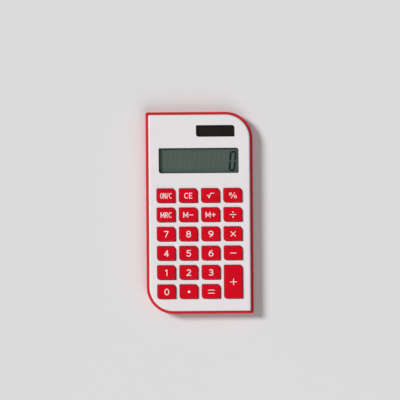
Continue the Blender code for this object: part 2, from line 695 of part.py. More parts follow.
def solar_outline(extra):
    """The outline of the solar cell and its window, larger by extra all round."""
    width = SOLAR_WIDTH + 2 * (PANE_LAP + extra)
    depth = SOLAR_DEPTH + 2 * (PANE_LAP + extra)
    return box(width, depth, (SOLAR_X, SOLAR_Y))


def solar_low():
    """The underside of the solar cell."""
    return PANE_LOW - SEAT - SOLAR_CELL


def make_solar():
    """The solar window, the cell under it and its two wires, which pass round the board's edge."""
    window = built("solar_window", [prism(solar_outline(0.0), PANE_LOW, PANE_HIGH)])
    dress(window, CLEAR_PLASTIC)
    cell = built("solar_cell", [prism(solar_outline(0.0), solar_low(), PANE_LOW - SEAT)])
    dress(cell, SOLAR_GLASS)
    below = BOARD_LOW - SLIDE - 2 * WIRE_RADIUS
    edge = BOARD_TOP
    route = (
        (SOLAR_Y, solar_low() - SEAT),
        (SOLAR_Y - 0.0005, solar_low() - 0.0009),
        (SOLAR_Y - 0.0022, BOARD_HIGH + SEAT + WIRE_RADIUS),
        (edge + 0.0030, BOARD_LOW + BOARD / 2),
        (edge + 0.0010, below + WIRE_RADIUS),
        (edge - 0.0003, below),
        (edge - 0.0016, below),
    )
    for name, side, finish in (("solar_wire_plus", -1, RED_WIRE), ("solar_wire_minus", 1, BLACK_WIRE)):
        x = SOLAR_X + side * WIRE_SPACING / 2
        dress(tube(name, smooth([(x, y, z) for y, z in route], WIRE_STEPS), WIRE_RADIUS), finish)


def smooth(points, steps):
    """Points along a Catmull-Rom curve through the given points."""
    ends = [points[0], *points, points[-1]]
    path = []
    for before, start, end, after in zip(ends, ends[1:], ends[2:], ends[3:]):
        for step in range(steps):
            t = step / steps
            weights = (
                (-t + 2 * t * t - t**3) / 2,
                (2 - 5 * t * t + 3 * t**3) / 2,
                (t + 4 * t * t - 3 * t**3) / 2,
                (t**3 - t * t) / 2,
            )
            near = (before, start, end, after)
            path.append(tuple(sum(w * p[axis] for w, p in zip(weights, near)) for axis in range(3)))
    return [*path, points[-1]]


def tube(name, path, radius):
    """A wire along a path."""
    data = bpy.data.curves.new(name, "CURVE")
    data.dimensions = "3D"
    data.bevel_depth = radius
    data.bevel_resolution = 2
    data.use_fill_caps = True
    line = data.splines.new("POLY")
    line.points.add(len(path) - 1)
    for point, place in zip(line.points, path):
        point.co = (*place, 1.0)
    return placed(name, data)


def make_cell():
    """The button cell, lying with its cap up, and the two contacts that meet its cap and its side."""
    centre = (CELL_X, CELL_Y)
    cap_radius = CELL_CAP_DIAMETER / 2
    cup = CELL_RADIUS - CELL_SKIN
    cup_floor = CELL_SHOULDER - CELL_CAP_HEIGHT
    flat = CELL_RADIUS - CELL_EDGE
    can = [(cup, cup_floor), (cup, CELL_SHOULDER), (flat, CELL_SHOULDER)]
    can += [(CELL_RADIUS, CELL_SHOULDER - CELL_EDGE), (CELL_RADIUS, CELL_LOW + CELL_EDGE), (flat, CELL_LOW)]
    dress(built("cell_can", [turned(can, DISC_SIDES, centre)]), CELL_STEEL)
    ring = span_ring(cap_radius + GLUE, cup - GLUE, cup_floor + GLUE, CELL_SHOULDER, centre)
    seal = built("cell_seal", [ring])
    close_ring(seal)
    dress(seal, SEAL_PLASTIC)
    cap = [(cap_radius, cup_floor + GLUE), (cap_radius, CELL_HIGH - CELL_EDGE)]
    cap.append((cap_radius - CELL_EDGE, CELL_HIGH))
    dress(built("cell_cap", [turned(cap, DISC_SIDES, centre)]), CELL_STEEL)

    pad_z = CELL_HIGH + SEAT + CONTACT / 2
    tail_z = BOARD_HIGH + SEAT + CONTACT / 2
    path = [
        (BOARD_TOP - CONTACT_TAIL, tail_z),
        (WELL_FOOT + 3 * SLIDE, tail_z),
        (CELL_Y - cap_radius - SLIDE, pad_z),
        (CELL_Y + cap_radius / 2, pad_z),
    ]
    left = CELL_X - CONTACT_WIDTH / 2
    contact = built("cell_contact_cap", [prism(strip(path, CONTACT), left, left + CONTACT_WIDTH)], "X")
    dress(contact, CONTACT_METAL)
    touch_x = CELL_X + CELL_RADIUS + SEAT + CONTACT / 2
    path = [
        (SIDE_TAIL_X, BOARD_TOP + SEAT),
        (SIDE_TAIL_X, WELL_FOOT + 3 * SLIDE),
        (touch_x, CELL_Y - CELL_RADIUS / 3),
        (touch_x, CELL_Y + CELL_RADIUS / 2),
    ]
    side = [prism(strip(path, CONTACT), SIDE_CONTACT_LOW, SIDE_CONTACT_HIGH)]
    dress(built("cell_contact_side", side), CONTACT_METAL)


def span_ring(inner, outer, low, high, centre):
    """The rings of a round washer, from its inner lower edge out and up to its inner upper edge."""
    profile = [(inner, low), (outer, low), (outer, high), (inner, high)]
    return turned(profile, DISC_SIDES, centre)


def close_ring(item):
    """Turns the two capped ends of a washer's rings into one bore."""
    mesh = bmesh.new()
    mesh.from_mesh(item.data)
    caps = [face for face in mesh.faces if len(face.verts) == DISC_SIDES]
    rims = [edge for face in caps for edge in face.edges]
    bmesh.ops.delete(mesh, geom=caps, context="FACES_ONLY")
    bmesh.ops.bridge_loops(mesh, edges=rims)
    bmesh.ops.recalc_face_normals(mesh, faces=mesh.faces)
    mesh.to_mesh(item.data)
    mesh.free()


def make_door():
    """The battery door: it slides out of the display end on two tongues that lie over the floor's edges."""
    end = CASE_LENGTH / 2
    foot = WELL_FOOT + SLIDE
    inner = end - RIM + HALVES_GAP
    outline = [(inner, BACK_FLOOR), (foot, BACK_FLOOR), (foot, 0.0)]
    outline += [(end - inset, height) for inset, height in fillet(BASE_FILLET, FILLET_STEPS)[::-1]]
    outline += [(end, DOOR_LIP_HEIGHT), (inner, DOOR_LIP_HEIGHT)]
    door = built("battery_door", [prism(outline, -DOOR_HALF, DOOR_HALF)], "X")
    rib_right = DOOR_HALF - SLIDE / 2
    rib_left = DOOR_HALF - DOOR_RIB
    rib_end = end - RIM / 2
    ribs, tongues = [], []
    for side in (-1, 1):
        rib = span(*sorted((side * rib_left, side * rib_right)), foot + SLIDE / 2, rib_end)
        ribs.append(prism(rib, BACK_FLOOR / 2, BACK_FLOOR + DOOR_RIB_HEIGHT))
        sides = sorted((side * (rib_left + rib_right) / 2, side * (DOOR_HALF + DOOR_TONGUE)))
        tongue = span(*sides, foot + SLIDE, end)
        tongues.append(prism(tongue, TONGUE_LOW, TONGUE_LOW + DOOR_TONGUE_THICKNESS))
    combine(door, "UNION", "ribs", ribs)
    combine(door, "UNION", "tongues", tongues)
    door.location.x = CELL_X
    dress(door, RED_CASE)


def make_screws():
    """Six screws hold the halves together from behind, and four hold the board to the front case."""
    for number, place in enumerate(CASE_SCREWS, 1):
        low = CASE_HEAD_POCKET - SEAT - CASE_HEAD
        sizes = (CASE_HEAD, CASE_HEAD_RADIUS, CASE_SHANK_RADIUS, CASE_SCREW_REACH)
        rings = screw_rings(place, low, *sizes)
        dress(built(f"case_screw_{number}", [rings]), SCREW_STEEL)
    for number, place in enumerate(BOARD_SCREWS, 1):
        low = BOARD_LOW - SEAT - BOARD_HEAD
        sizes = (BOARD_HEAD, BOARD_HEAD_RADIUS, BOARD_SHANK_RADIUS, BOARD_SCREW_REACH)
        rings = screw_rings(place, low, *sizes)
        dress(built(f"board_screw_{number}", [rings]), SCREW_STEEL)


for item in list(bpy.data.objects):
    bpy.data.objects.remove(item)
make_back_case()
make_front_case()
make_keys()
make_dome_mat()
make_board()
make_display()
make_solar()
make_cell()
make_door()
make_screws()
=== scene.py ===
# %% [markdown]
# # A pocket calculator, piece by piece
# The object is a thin calculator: a red tub at the back, a white cover with twenty-three red keys,
# a liquid crystal display and a strip of solar cell. The packed model already says where each piece
# lies and how it moves, so this file only makes surfaces and finishes. It starts by loading that
# model, and every place and size below is read from it or named as a value.

# %% Load the frame
import math

import bmesh
import bpy
import numpy as np
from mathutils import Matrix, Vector
from mathutils.geometry import delaunay_2d_cdt


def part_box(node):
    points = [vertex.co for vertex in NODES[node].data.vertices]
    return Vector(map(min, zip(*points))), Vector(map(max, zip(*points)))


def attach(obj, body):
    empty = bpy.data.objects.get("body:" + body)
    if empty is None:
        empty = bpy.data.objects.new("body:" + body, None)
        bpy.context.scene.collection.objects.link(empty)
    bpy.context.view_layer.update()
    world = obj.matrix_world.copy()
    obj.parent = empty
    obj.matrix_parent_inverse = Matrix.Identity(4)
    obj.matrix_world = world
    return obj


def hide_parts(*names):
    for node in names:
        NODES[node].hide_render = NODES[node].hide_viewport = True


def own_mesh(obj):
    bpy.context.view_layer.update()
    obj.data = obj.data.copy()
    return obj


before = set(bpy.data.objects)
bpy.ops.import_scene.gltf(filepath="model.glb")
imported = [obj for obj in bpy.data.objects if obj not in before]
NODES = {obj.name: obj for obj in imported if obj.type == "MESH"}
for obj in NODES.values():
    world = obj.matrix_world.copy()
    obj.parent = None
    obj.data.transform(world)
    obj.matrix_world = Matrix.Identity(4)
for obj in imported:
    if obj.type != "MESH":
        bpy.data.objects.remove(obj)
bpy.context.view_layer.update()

MM = 0.001

# %% [markdown]
# ## The camera
# Product pictures of flat things are taken from straight above with a long lens, so that the sides
# hardly show. A lens length, a sensor width and the width of floor that the picture shows give the
# camera's height by similar triangles. The standard view transform keeps a saturated red red.

# %% Camera
LENS, SENSOR = 200.0, 36.0
SEEN_WIDTH = 0.237
AIM = (0.0003, 0.0076)
ROLL = -0.45

camera_data = bpy.data.cameras.new("camera")
camera_data.lens = LENS
camera_data.sensor_width = SENSOR
camera = bpy.data.objects.new("camera", camera_data)
camera.location = (*AIM, SEEN_WIDTH * LENS / SENSOR)
camera.rotation_euler.z = math.radians(ROLL)
bpy.context.scene.collection.objects.link(camera)
bpy.context.scene.camera = camera
bpy.context.scene.view_settings.view_transform = "Standard"
print("camera height:", round(camera.location.z, 4))

# %% [markdown]
# ## Light
# Two broad soft lights and a weak even sky. The stronger light comes from the upper left, so each
# key throws a thin shadow to the right and down. Nothing bright hangs straight overhead, because
# the glossy red and the windows would mirror it and look grey. Distant lights keep the floor even.

# %% Sky and soft lights
SKY = (0.15, 0.15, 0.155)


def soft_light(name, place, angle, strength):
    """A distant light that shines from a place towards the origin, as wide as the angle in degrees."""
    lamp = bpy.data.lights.new(name, "SUN")
    lamp.angle = math.radians(angle)
    lamp.energy = strength
    light = bpy.data.objects.new(name, lamp)
    light.location = place
    light.rotation_euler = (-Vector(place)).to_track_quat("-Z", "Y").to_euler()
    bpy.context.scene.collection.objects.link(light)


soft_light("key_light", (-0.80, 0.42, 0.85), 18.0, 2.55)
soft_light("fill_light", (0.30, -0.80, 0.85), 50.0, 1.0)

world = bpy.data.worlds.new("studio")
world.use_nodes = True
world.node_tree.nodes["Background"].inputs["Color"].default_value = (*SKY, 1.0)
world.node_tree.nodes["Background"].inputs["Strength"].default_value = 1.0
bpy.context.scene.world = world
print("sky level:", SKY[1])

# %% [markdown]
# ## Outlines
# Most pieces of a moulded object are outlines carried through a few heights. The main outline is a
# box with two round and two sharp corners, which this maker uses for the case, the keys and both
# windows. A rounded edge is a row of such outlines, each drawn in a little further than the last.

# %% Outlines
FINEST = 0.02 * MM


def leaf(width, depth, rounded, sharp, inset=0.0, centre=(0.0, 0.0), steps=18):
    """A box's outline: each corner is a quarter circle, its middle plus its radius times (cos, sin).

    The upper right and lower left corners have the rounded radius and the other two the sharp one.
    An inset moves every side inwards and takes as much off each radius.
    """
    radii = np.maximum(np.array([rounded, sharp, rounded, sharp]) - inset, FINEST)
    ends = np.array([[1, 1], [-1, 1], [-1, -1], [1, -1]])
    middles = ends * (np.array([width, depth]) / 2 - inset - radii[:, None])
    turns = np.pi / 2 * (np.arange(4)[:, None] + np.linspace(0, 1, steps + 1))
    arcs = middles[:, None] + radii[:, None, None] * np.stack([np.cos(turns), np.sin(turns)], -1)
    return arcs.reshape(-1, 2) + np.array(centre)


def circle(radius, centre=(0.0, 0.0), sides=48):
    """Points at equal angles: middle plus radius times (cos, sin)."""
    turns = 2 * np.pi * np.arange(sides) / sides
    return np.column_stack([np.cos(turns), np.sin(turns)]) * radius + np.array(centre)


def lifted(outline, height):
    """An outline in plan, put at a height."""
    return np.column_stack([outline, np.full(len(outline), height)])


def edge_above(ring, radius, level, steps):
    """ring(inset, height) along a quarter circle, from a side up to the flat at this level.

    At angle t the inset is radius (1 - cos t) and the drop below the level radius (1 - sin t).
    """
    turns = np.linspace(0, np.pi / 2, steps + 1)
    insets, drops = radius * (1 - np.cos(turns)), radius * (1 - np.sin(turns))
    return [ring(inset, level - drop) for inset, drop in zip(insets, drops)]


def edge_below(ring, radius, level, steps):
    """The same edge upside down, from the flat at this level round to a side above it."""
    return edge_above(lambda inset, height: ring(inset, 2 * level - height), radius, level, steps)[::-1]


print("a leaf outline has", len(leaf(1, 1, 0.2, 0.1)), "points")

# %% [markdown]
# ## Skins and sheets
# Rings of equal length make a skin when each is joined to the next. A flat face with holes in it is
# a sheet: triangles between an outline and the holes. Every part is its points and a list of face
# arrays, one for each number of corners, so that whole arrays go into the mesh at once.

# %% Skins and sheets


def skin(rings, first=False, last=False):
    """Joins rings of equal length: quad (i, j) lies between rings i and i + 1, points j and j + 1.

    first and last say which end is closed with a face.
    """
    rings = np.asarray(rings)
    count, around = rings.shape[:2]
    row = np.arange(count - 1)[:, None] * around
    here = np.arange(around)[None]
    after = (here + 1) % around
    corners = [row + here, row + after, row + around + after, row + around + here]
    faces = [np.stack(corners, -1).reshape(-1, 4)]
    if first:
        faces.append(here[:, ::-1])
    if last:
        faces.append(here + (count - 1) * around)
    return rings.reshape(-1, 3), faces


def triangles_in(loops, wanted):
    """Delaunay triangles that keep each loop's sides; wanted picks them by the loops they lie in."""
    starts = np.cumsum([0] + [len(loop) for loop in loops])
    faces = [list(range(start, end)) for start, end in zip(starts, starts[1:])]
    found = delaunay_2d_cdt(np.concatenate(loops).tolist(), [], faces, 0, FINEST / 50)
    kept = [face for face, inside in zip(found[2], found[5]) if wanted(inside)]
    return np.array(found[0]), np.array(kept)


def sheet(outer, holes, height):
    """A flat sheet inside the outer ring and outside the ring of every hole, seen in plan."""
    loops = [ring[:, :2] for ring in (outer, *holes)]
    places, faces = triangles_in(loops, lambda inside: inside == [0])
    return lifted(places, height), [faces]


def turned_rings(profile, centre=(0.0, 0.0), sides=48):
    """Each (radius, height) of a profile as a circle round an upright axis."""
    return [lifted(circle(radius, centre, sides), height) for radius, height in profile]


def turned(profile, centre, sides=48, first=True, last=True):
    """A profile carried round an upright axis, its ends closed."""
    return skin(turned_rings(profile, centre, sides), first, last)


print("a ring of 48 quads:", turned([(1, 0), (1, 1)], (0, 0))[1][0].shape)

# %% [markdown]
# ## From arrays to a mesh
# A piece is one closed skin, or a few. Three arrays describe its mesh: the points, the corners of
# all faces in a row, and where each face starts in that row. Its doubles are merged first and its
# faces turned outwards after that, then it is shaded smooth with sharp edges kept.

# %% Mesh from parts
MERGE = 0.001 * MM
SHARP_ANGLE = math.radians(38)


def mesh_of(name, parts):
    """A mesh with its doubles merged, its faces outwards and its sharp edges marked.

    A part's faces count its points from 0, so they are raised by the number of points before it.
    """
    starts = np.cumsum([0] + [len(points) for points, _ in parts])
    faces = [block + start for start, (_, blocks) in zip(starts, parts) for block in blocks]
    counts = np.concatenate([np.full(len(block), block.shape[1]) for block in faces])
    data = bpy.data.meshes.new(name)
    data.vertices.add(starts[-1])
    data.loops.add(counts.sum())
    data.polygons.add(len(counts))
    points = np.concatenate([points for points, _ in parts])
    corners = np.concatenate([block.ravel() for block in faces])
    data.vertices.foreach_set("co", points.ravel().astype("f"))
    data.loops.foreach_set("vertex_index", corners.astype("i"))
    data.polygons.foreach_set("loop_start", (np.cumsum(counts) - counts).astype("i"))
    data.update(calc_edges=True)
    work = bmesh.new()
    work.from_mesh(data)
    bmesh.ops.remove_doubles(work, verts=work.verts, dist=MERGE)
    bmesh.ops.dissolve_degenerate(work, edges=work.edges, dist=MERGE / 2)
    bmesh.ops.recalc_face_normals(work, faces=work.faces)
    work.to_mesh(data)
    work.free()
    data.shade_smooth()
    data.set_sharp_from_angle(angle=SHARP_ANGLE)
    return data


tube = mesh_of("tube", [turned([(1, 0), (1, 1)], (0, 0))])
print("a closed tube has", len(tube.polygons), "faces")
bpy.data.meshes.remove(tube)

# %% [markdown]
# ## From a mesh to a piece
# Holes that cross several surfaces, such as the battery door's, are cut with an exact Boolean. The
# last lines of a piece tell the frame which body it rides on, whose finish it shows and which node
# of the packed model it stands for.

# %% Pieces
PIECES = []


def booleaned(item, part, operation):
    """Cuts a closed part out of an object, or unites it with it, and keeps the result as its mesh."""
    tool = bpy.data.objects.new("tool", mesh_of("tool", [part]))
    bpy.context.scene.collection.objects.link(tool)
    change = item.modifiers.new("shape", "BOOLEAN")
    change.operation = operation
    change.solver = "EXACT"
    change.object = tool
    seen = item.evaluated_get(bpy.context.evaluated_depsgraph_get())
    old, item.data = item.data, bpy.data.meshes.new_from_object(seen)
    item.modifiers.clear()
    bpy.data.objects.remove(tool)
    item.data.name = old.name
    item.data.set_sharp_from_angle(angle=SHARP_ANGLE)


def piece(name, parts, finish, body="case", stands_for=None, unite=(), cut=()):
    """Makes a piece from parts and tells the frame about it."""
    item = bpy.data.objects.new(name, mesh_of(name, parts))
    bpy.context.scene.collection.objects.link(item)
    for part in unite:
        booleaned(item, part, "UNION")
    for part in cut:
        booleaned(item, part, "DIFFERENCE")
    item.data.materials.clear()
    item.data.materials.append(finish)
    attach(item, body)
    if stands_for:
        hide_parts(stands_for)
    PIECES.append(item)
    return item


print("pieces so far:", len(PIECES))

# %% [markdown]
# ## Where things are
# Every place comes from the packed model: a node's box gives its middle, its size and its heights.

# %% Places


def middle_of(node):
    """The middle of a node's box in plan, as an array."""
    low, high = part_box(node)
    return np.array([(low.x + high.x) / 2, (low.y + high.y) / 2])


def size_of(node):
    """Width, depth and height of a node's box."""
    low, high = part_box(node)
    return high - low


def heights_of(node):
    """The lowest and highest point of a node."""
    low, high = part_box(node)
    return low.z, high.z


print("case:", [round(side / MM, 2) for side in size_of("back_case")], "mm")

# %% [markdown]
# ## How a finish is built
# Moulded plastic is never one flat colour. The steel mould is spark-eroded to a fine grain and the
# melt flows unevenly. So each finish mixes three noises on the object's own coordinates: a broad one
# that shifts the colour, a middle one that shifts the roughness and a fine one that raises the grain.
# A small toolbox keeps the node trees readable.

# %% Finish tools


class Finish:
    """A node material in the making: a Principled shader and short calls that add nodes to it."""

    def __init__(self, name, colour, roughness, **constants):
        self.material = bpy.data.materials.new(name)
        self.material.use_nodes = True
        self.nodes = self.material.node_tree.nodes
        self.shader = self.nodes["Principled BSDF"]
        self.place = self.node("ShaderNodeTexCoord").outputs["Object"]
        self.shader.inputs["Base Color"].default_value = (*colour, 1.0)
        self.shader.inputs["Roughness"].default_value = roughness
        for socket, value in constants.items():
            self.shader.inputs[socket.replace("_", " ")].default_value = value

    def node(self, kind, **settings):
        """A new node with these settings."""
        made = self.nodes.new(kind)
        for name, value in settings.items():
            setattr(made, name, value)
        return made

    def link(self, source, target):
        """Joins an output to an input, or sets the input where the source is a number."""
        if hasattr(source, "is_linked"):
            self.material.node_tree.links.new(source, target)
        else:
            target.default_value = source

    def noise(self, scale, detail=2.0, stretch=(1.0, 1.0, 1.0)):
        """Noise at this many bumps per metre, stretched along the axes."""
        mapping = self.node("ShaderNodeMapping")
        mapping.inputs["Scale"].default_value = stretch
        self.link(self.place, mapping.inputs["Vector"])
        noise = self.node("ShaderNodeTexNoise")
        noise.inputs["Scale"].default_value = scale
        noise.inputs["Detail"].default_value = detail
        self.link(mapping.outputs["Vector"], noise.inputs["Vector"])
        return noise.outputs["Fac"]

    def fitted(self, source, low, high, new_low=0.0, new_high=1.0):
        """A straight-line change of range, held at its ends."""
        change = self.node("ShaderNodeMapRange")
        sockets = ("From Min", "From Max", "To Min", "To Max")
        for socket, value in zip(sockets, (low, high, new_low, new_high)):
            change.inputs[socket].default_value = value
        self.link(source, change.inputs["Value"])
        return change.outputs["Result"]

    def maths(self, operation, first, second=0.0):
        """One sum of two numbers."""
        sum_of = self.node("ShaderNodeMath", operation=operation)
        self.link(first, sum_of.inputs[0])
        self.link(second, sum_of.inputs[1])
        return sum_of.outputs["Value"]

    def mixed(self, share, first, second):
        """A colour between two, each a socket or three numbers."""
        mix = self.node("ShaderNodeMix", data_type="RGBA")
        self.link(share, mix.inputs[0])
        for source, target in ((first, mix.inputs[6]), (second, mix.inputs[7])):
            self.link(source if hasattr(source, "is_linked") else (*source, 1.0), target)
        return mix.outputs[2]

    def axis(self, number):
        """One coordinate of the object's own space."""
        split = self.node("ShaderNodeSeparateXYZ")
        self.link(self.place, split.inputs["Vector"])
        return split.outputs[number]

    def colour(self, source):
        """Takes the surface's colour from a socket."""
        self.link(source, self.shader.inputs["Base Color"])

    def toned(self, noise, dark, light):
        """Colour between two tones; noise mostly lies within 0.3 to 0.7, which is spread over both."""
        self.colour(self.mixed(self.fitted(noise, 0.3, 0.7), dark, light))

    def glossed(self, noise, low, high):
        """Roughness that wanders between two values as a noise does."""
        self.link(self.fitted(noise, 0.3, 0.7, low, high), self.shader.inputs["Roughness"])

    def raised(self, source, height):
        """Bumps of this height in metres."""
        bump = self.node("ShaderNodeBump")
        bump.inputs["Distance"].default_value = height
        self.link(source, bump.inputs["Height"])
        self.link(bump.outputs["Normal"], self.shader.inputs["Normal"])


print("finish tools:", [name for name in vars(Finish) if not name.startswith("_")])

# %% [markdown]
# ## The plastics
# Three moulded plastics carry the look: a cool white cover, a red tub and the keys' deeper, glossier
# red. A red pigment lets almost no green or blue back, so those two numbers stay near nothing, and a
# low specular level keeps the sky from greying it. On the two reds, sharp edges, where the surface
# bends outwards most, are painted paler and made a little smoother. The paler colour is a painted
# highlight: the light that a rounded edge catches.

# %% Plastics
GLOSS_SHIFT = 0.02


def moulded(name, colour, roughness, grain, grain_height, shift=0.05, edge_highlight=(), **constants):
    """Moulded plastic: broad colour shift, uneven gloss, eroded grain, and smoother edges painted paler as a
    highlight.

    grain is in bumps per metre, shift is a share of the colour, and the edge colour is the colour of the
    painted highlight on sharp edges.
    """
    finish = Finish(name, colour, roughness, **constants)
    darker = [c * (1 - shift) for c in colour]
    lighter = [min(1.0, c * (1 + shift)) for c in colour]
    tone = finish.mixed(finish.fitted(finish.noise(90, 3), 0.35, 0.65), darker, lighter)
    duller, glossier = roughness + GLOSS_SHIFT, roughness - GLOSS_SHIFT
    rough = finish.fitted(finish.noise(700, 4), 0.3, 0.7, glossier, duller)
    # Sharp edges, found by pointiness, are painted paler as a painted highlight, with a little less
    # roughness.
    if edge_highlight:
        edge = finish.node("ShaderNodeNewGeometry").outputs["Pointiness"]
        patchy = finish.fitted(finish.noise(1500, 2), 0.3, 0.7, 0.3, 1.0)
        highlight_share = finish.maths("MULTIPLY", finish.fitted(edge, 0.52, 0.62, 0, 0.6), patchy)
        tone = finish.mixed(highlight_share, tone, edge_highlight)
        rough = finish.maths("SUBTRACT", rough, finish.maths("MULTIPLY", highlight_share, 0.12))
    finish.colour(tone)
    finish.link(rough, finish.shader.inputs["Roughness"])
    finish.raised(finish.noise(grain, 3), grain_height)
    return finish.material


WHITE_PLASTIC = moulded("white_plastic", (0.83, 0.80, 0.81), 0.42, 5200, 0.010 * MM, 0.012)
RED, KEY_RED = (0.66, 0.012, 0.022), (0.67, 0.0004, 0.012)
# The paler reds below are painted highlights for sharp edges.
RED_EDGE_HIGHLIGHT, KEY_EDGE_HIGHLIGHT = (0.80, 0.10, 0.10), (0.75, 0.03, 0.05)
RED_PLASTIC = moulded("red_plastic", RED, 0.32, 5200, 0.007 * MM, edge_highlight=RED_EDGE_HIGHLIGHT, Specular_IOR_Level=0.4)
KEY_PLASTIC = moulded("key_plastic", KEY_RED, 0.28, 3800, 0.004 * MM, edge_highlight=KEY_EDGE_HIGHLIGHT, Specular_IOR_Level=0.22)
PRINT_INK = moulded("print_ink", (0.86, 0.84, 0.83), 0.55, 9000, 0.004 * MM, 0.02)
print("plastics:", WHITE_PLASTIC.name, RED_PLASTIC.name, KEY_PLASTIC.name, PRINT_INK.name)

# %% [markdown]
# ## The keys
# A keycap is a hollow box that stands 1.3 mm out of the cover. Its top is not flat: it swells a
# tenth of a millimetre, so that a finger finds its middle and light rolls over it. One row of rings
# describes the whole closed cap: up inside the plunger, out along the roof, down inside the wall,
# out round the flange, up the side, round the edge and in to the middle of the top.

# %% Keycap shape
FLANGE_REACH = 0.8 * MM
FLANGE = 0.8 * MM
KEY_ROUND, KEY_SHARP = 1.75 * MM, 0.45 * MM
KEY_EDGE = 0.55 * MM
KEY_WALL, KEY_ROOF = 1.0 * MM, 1.2 * MM
KEY_DRAFT = 0.06 * MM
PLUNGER = 1.8 * MM
CROWN = 0.10 * MM
CROWN_RINGS = (0.96, 0.85, 0.7, 0.55, 0.4, 0.25, 0.1)
INK = 0.02 * MM
KEY_LOW = heights_of("key_5")[0]
KEY_TOP = heights_of("key_5")[1] - 1.5 * INK
KEY_STEPS = 10


def key_size(node):
    """The cap's width and depth where it stands out of the cover."""
    size = size_of(node)
    return np.array([size.x, size.y]) - 2 * FLANGE_REACH


def swell(offset, half):
    """How far the top lies below its middle: CROWN times the mean of (x / half)^2 and (y / half)^2."""
    return CROWN * ((offset / half) ** 2).mean(-1)


def keycap(node):
    """The rings of one cap, about its own middle and then moved to its place."""
    width, depth = key_size(node)

    def ring(inset, height):
        return lifted(leaf(width, depth, KEY_ROUND, KEY_SHARP, inset, steps=KEY_STEPS), height)

    def drafted(inset, height):
        return ring(KEY_DRAFT + inset * (1 - KEY_DRAFT / KEY_EDGE), height)

    wall = ring(KEY_WALL, 0.0)[:, :2]
    plunger = wall / np.linalg.norm(wall, axis=1, keepdims=True) * PLUNGER
    roof = KEY_TOP - KEY_ROOF
    rings = [lifted(plunger, KEY_LOW), lifted(plunger, roof), lifted(wall, roof), lifted(wall, KEY_LOW)]
    flange = KEY_LOW + FLANGE
    rings += [ring(-FLANGE_REACH, KEY_LOW), ring(-FLANGE_REACH, flange), ring(0.0, flange)]
    rings += edge_above(drafted, KEY_EDGE, KEY_TOP, 8)
    rings += [ring(KEY_EDGE, KEY_TOP) * (share, share, 1) for share in CROWN_RINGS]
    points, faces = skin(rings, first=True, last=True)
    share = np.clip((points[:, 2] - KEY_TOP + KEY_EDGE) / KEY_EDGE, 0, 1)
    points[:, 2] -= share * swell(points[:, :2], np.array([width, depth]) / 2)
    points[:, :2] += middle_of(node)
    return points, faces


KEY_NAMES = sorted(name for name in NODES if name.startswith("key_"))
for name in KEY_NAMES:
    piece(f"cap_of_{name}", [keycap(name)], KEY_PLASTIC, name, name)
print("keycaps:", len(KEY_NAMES))

# %% [markdown]
# ## The keys' signs
# The signs are printed in white ink. Each is drawn here with strokes: straight lines and parts of
# ovals in a box one wide and one high, which is then scaled to the sign's real size. A stroke may
# stand a little out of its box, so that it ends flush with the outside of the one that it meets.

# %% Strokes


def line(*ends, spacing=0.08):
    """Points on a straight run between two ends, no further apart than the spacing."""
    start, end = np.array(ends, float)
    count = int(np.ceil(np.linalg.norm(end - start) / spacing))
    return start + (end - start) * np.linspace(0, 1, count + 1)[:, None]


def oval(x, y, half_width, half_height, start=0.0, end=360.0):
    """Part of an oval: (x + a cos t, y + b sin t) from one angle in degrees to another."""
    turns = np.radians(np.linspace(start, end, max(12, int(abs(end - start) / 8)) + 1))
    return np.column_stack([x + half_width * np.cos(turns), y + half_height * np.sin(turns)])


STEM = line((0, -0.09), (0, 1.09))
BAR_ACROSS = line((0, 0.5), (1, 0.5))
STROKES = {
    "0": [oval(0.5, 0.5, 0.5, 0.5)],
    "1": [line((0.16, 0.80), (0.58, 1)), line((0.58, 1.06), (0.58, -0.07))],
    "2": [oval(0.47, 0.73, 0.45, 0.27, 162, -38), line((0.825, 0.564), (0.02, 0.02))],
    "3": [oval(0.44, 0.76, 0.42, 0.24, 155, -90), oval(0.44, 0.26, 0.52, 0.26, 90, -155)],
    "4": [line((0.7, 1), (0, 0.27)), line((-0.1, 0.27), (1.1, 0.27)), line((0.72, 1.07), (0.72, -0.07))],
    "5": [line((0.98, 1), (0.06, 1)), line((0.18, 1), (0.12, 0.53))],
    "6": [oval(0.5, 0.3, 0.49, 0.3), oval(0.97, 0.33, 0.96, 0.67, 98, 180)],
    "7": [line((-0.05, 1), (1.04, 1)), line((0.93, 1), (0.3, -0.06))],
    "8": [oval(0.5, 0.76, 0.42, 0.24), oval(0.5, 0.265, 0.49, 0.265)],
    "N": [STEM, STEM + (1, 0), line((0, 1), (1, 0))],
    "/": [line((0, -0.09), (1, 1.09))],
    "C": [oval(0.6, 0.5, 0.6, 0.5, 48, 312)],
    "E": [STEM, line((0, 0), (1.05, 0)), line((0, 0.52), (0.9, 0.52)), line((0, 1), (1.05, 1))],
    "M": [STEM, STEM + (1, 0), line((0, 1), (0.5, 0.22)), line((1, 1), (0.5, 0.22))],
    "R": [STEM, line((0, 1), (0.48, 1)), oval(0.48, 0.75, 0.5, 0.25, 90, -90), line((0.48, 0.5), (0, 0.5))],
    "-": [BAR_ACROSS],
    "+": [BAR_ACROSS, line((0.5, 0), (0.5, 1))],
    "x": [line((0, 0), (1, 1)), line((1, 0), (0, 1))],
    "=": [BAR_ACROSS - (0, 0.24), BAR_ACROSS + (0, 0.24)],
    "÷": [BAR_ACROSS],
    "√": [line((0, 0.47), (0.13, 0.57)), line((0.13, 0.57), (0.29, 0)), line((0.29, 0), (0.52, 0.96))],
    "%": [line((0.24, -0.04), (0.78, 1.04)), oval(0.15, 0.75, 0.15, 0.22), oval(0.85, 0.25, 0.15, 0.22)],
    ".": [],
}
STROKES["O"] = STROKES["0"]
STROKES["9"] = [1 - path for path in STROKES["6"]]
STROKES["2"].append(line((-0.12, 0), (1.05, 0)))
STROKES["3"].append(line((0.26, 0.52), (0.5, 0.52)))
STROKES["5"].append(oval(0.42, 0.305, 0.54, 0.305, 126, -152))
STROKES["R"].append(line((0.42, 0.5), (1, -0.09)))
STROKES["√"].append(line((0.52, 0.96), (1, 0.96)))
print("signs:", len(STROKES), "with", sum(map(len, STROKES.values())), "strokes")

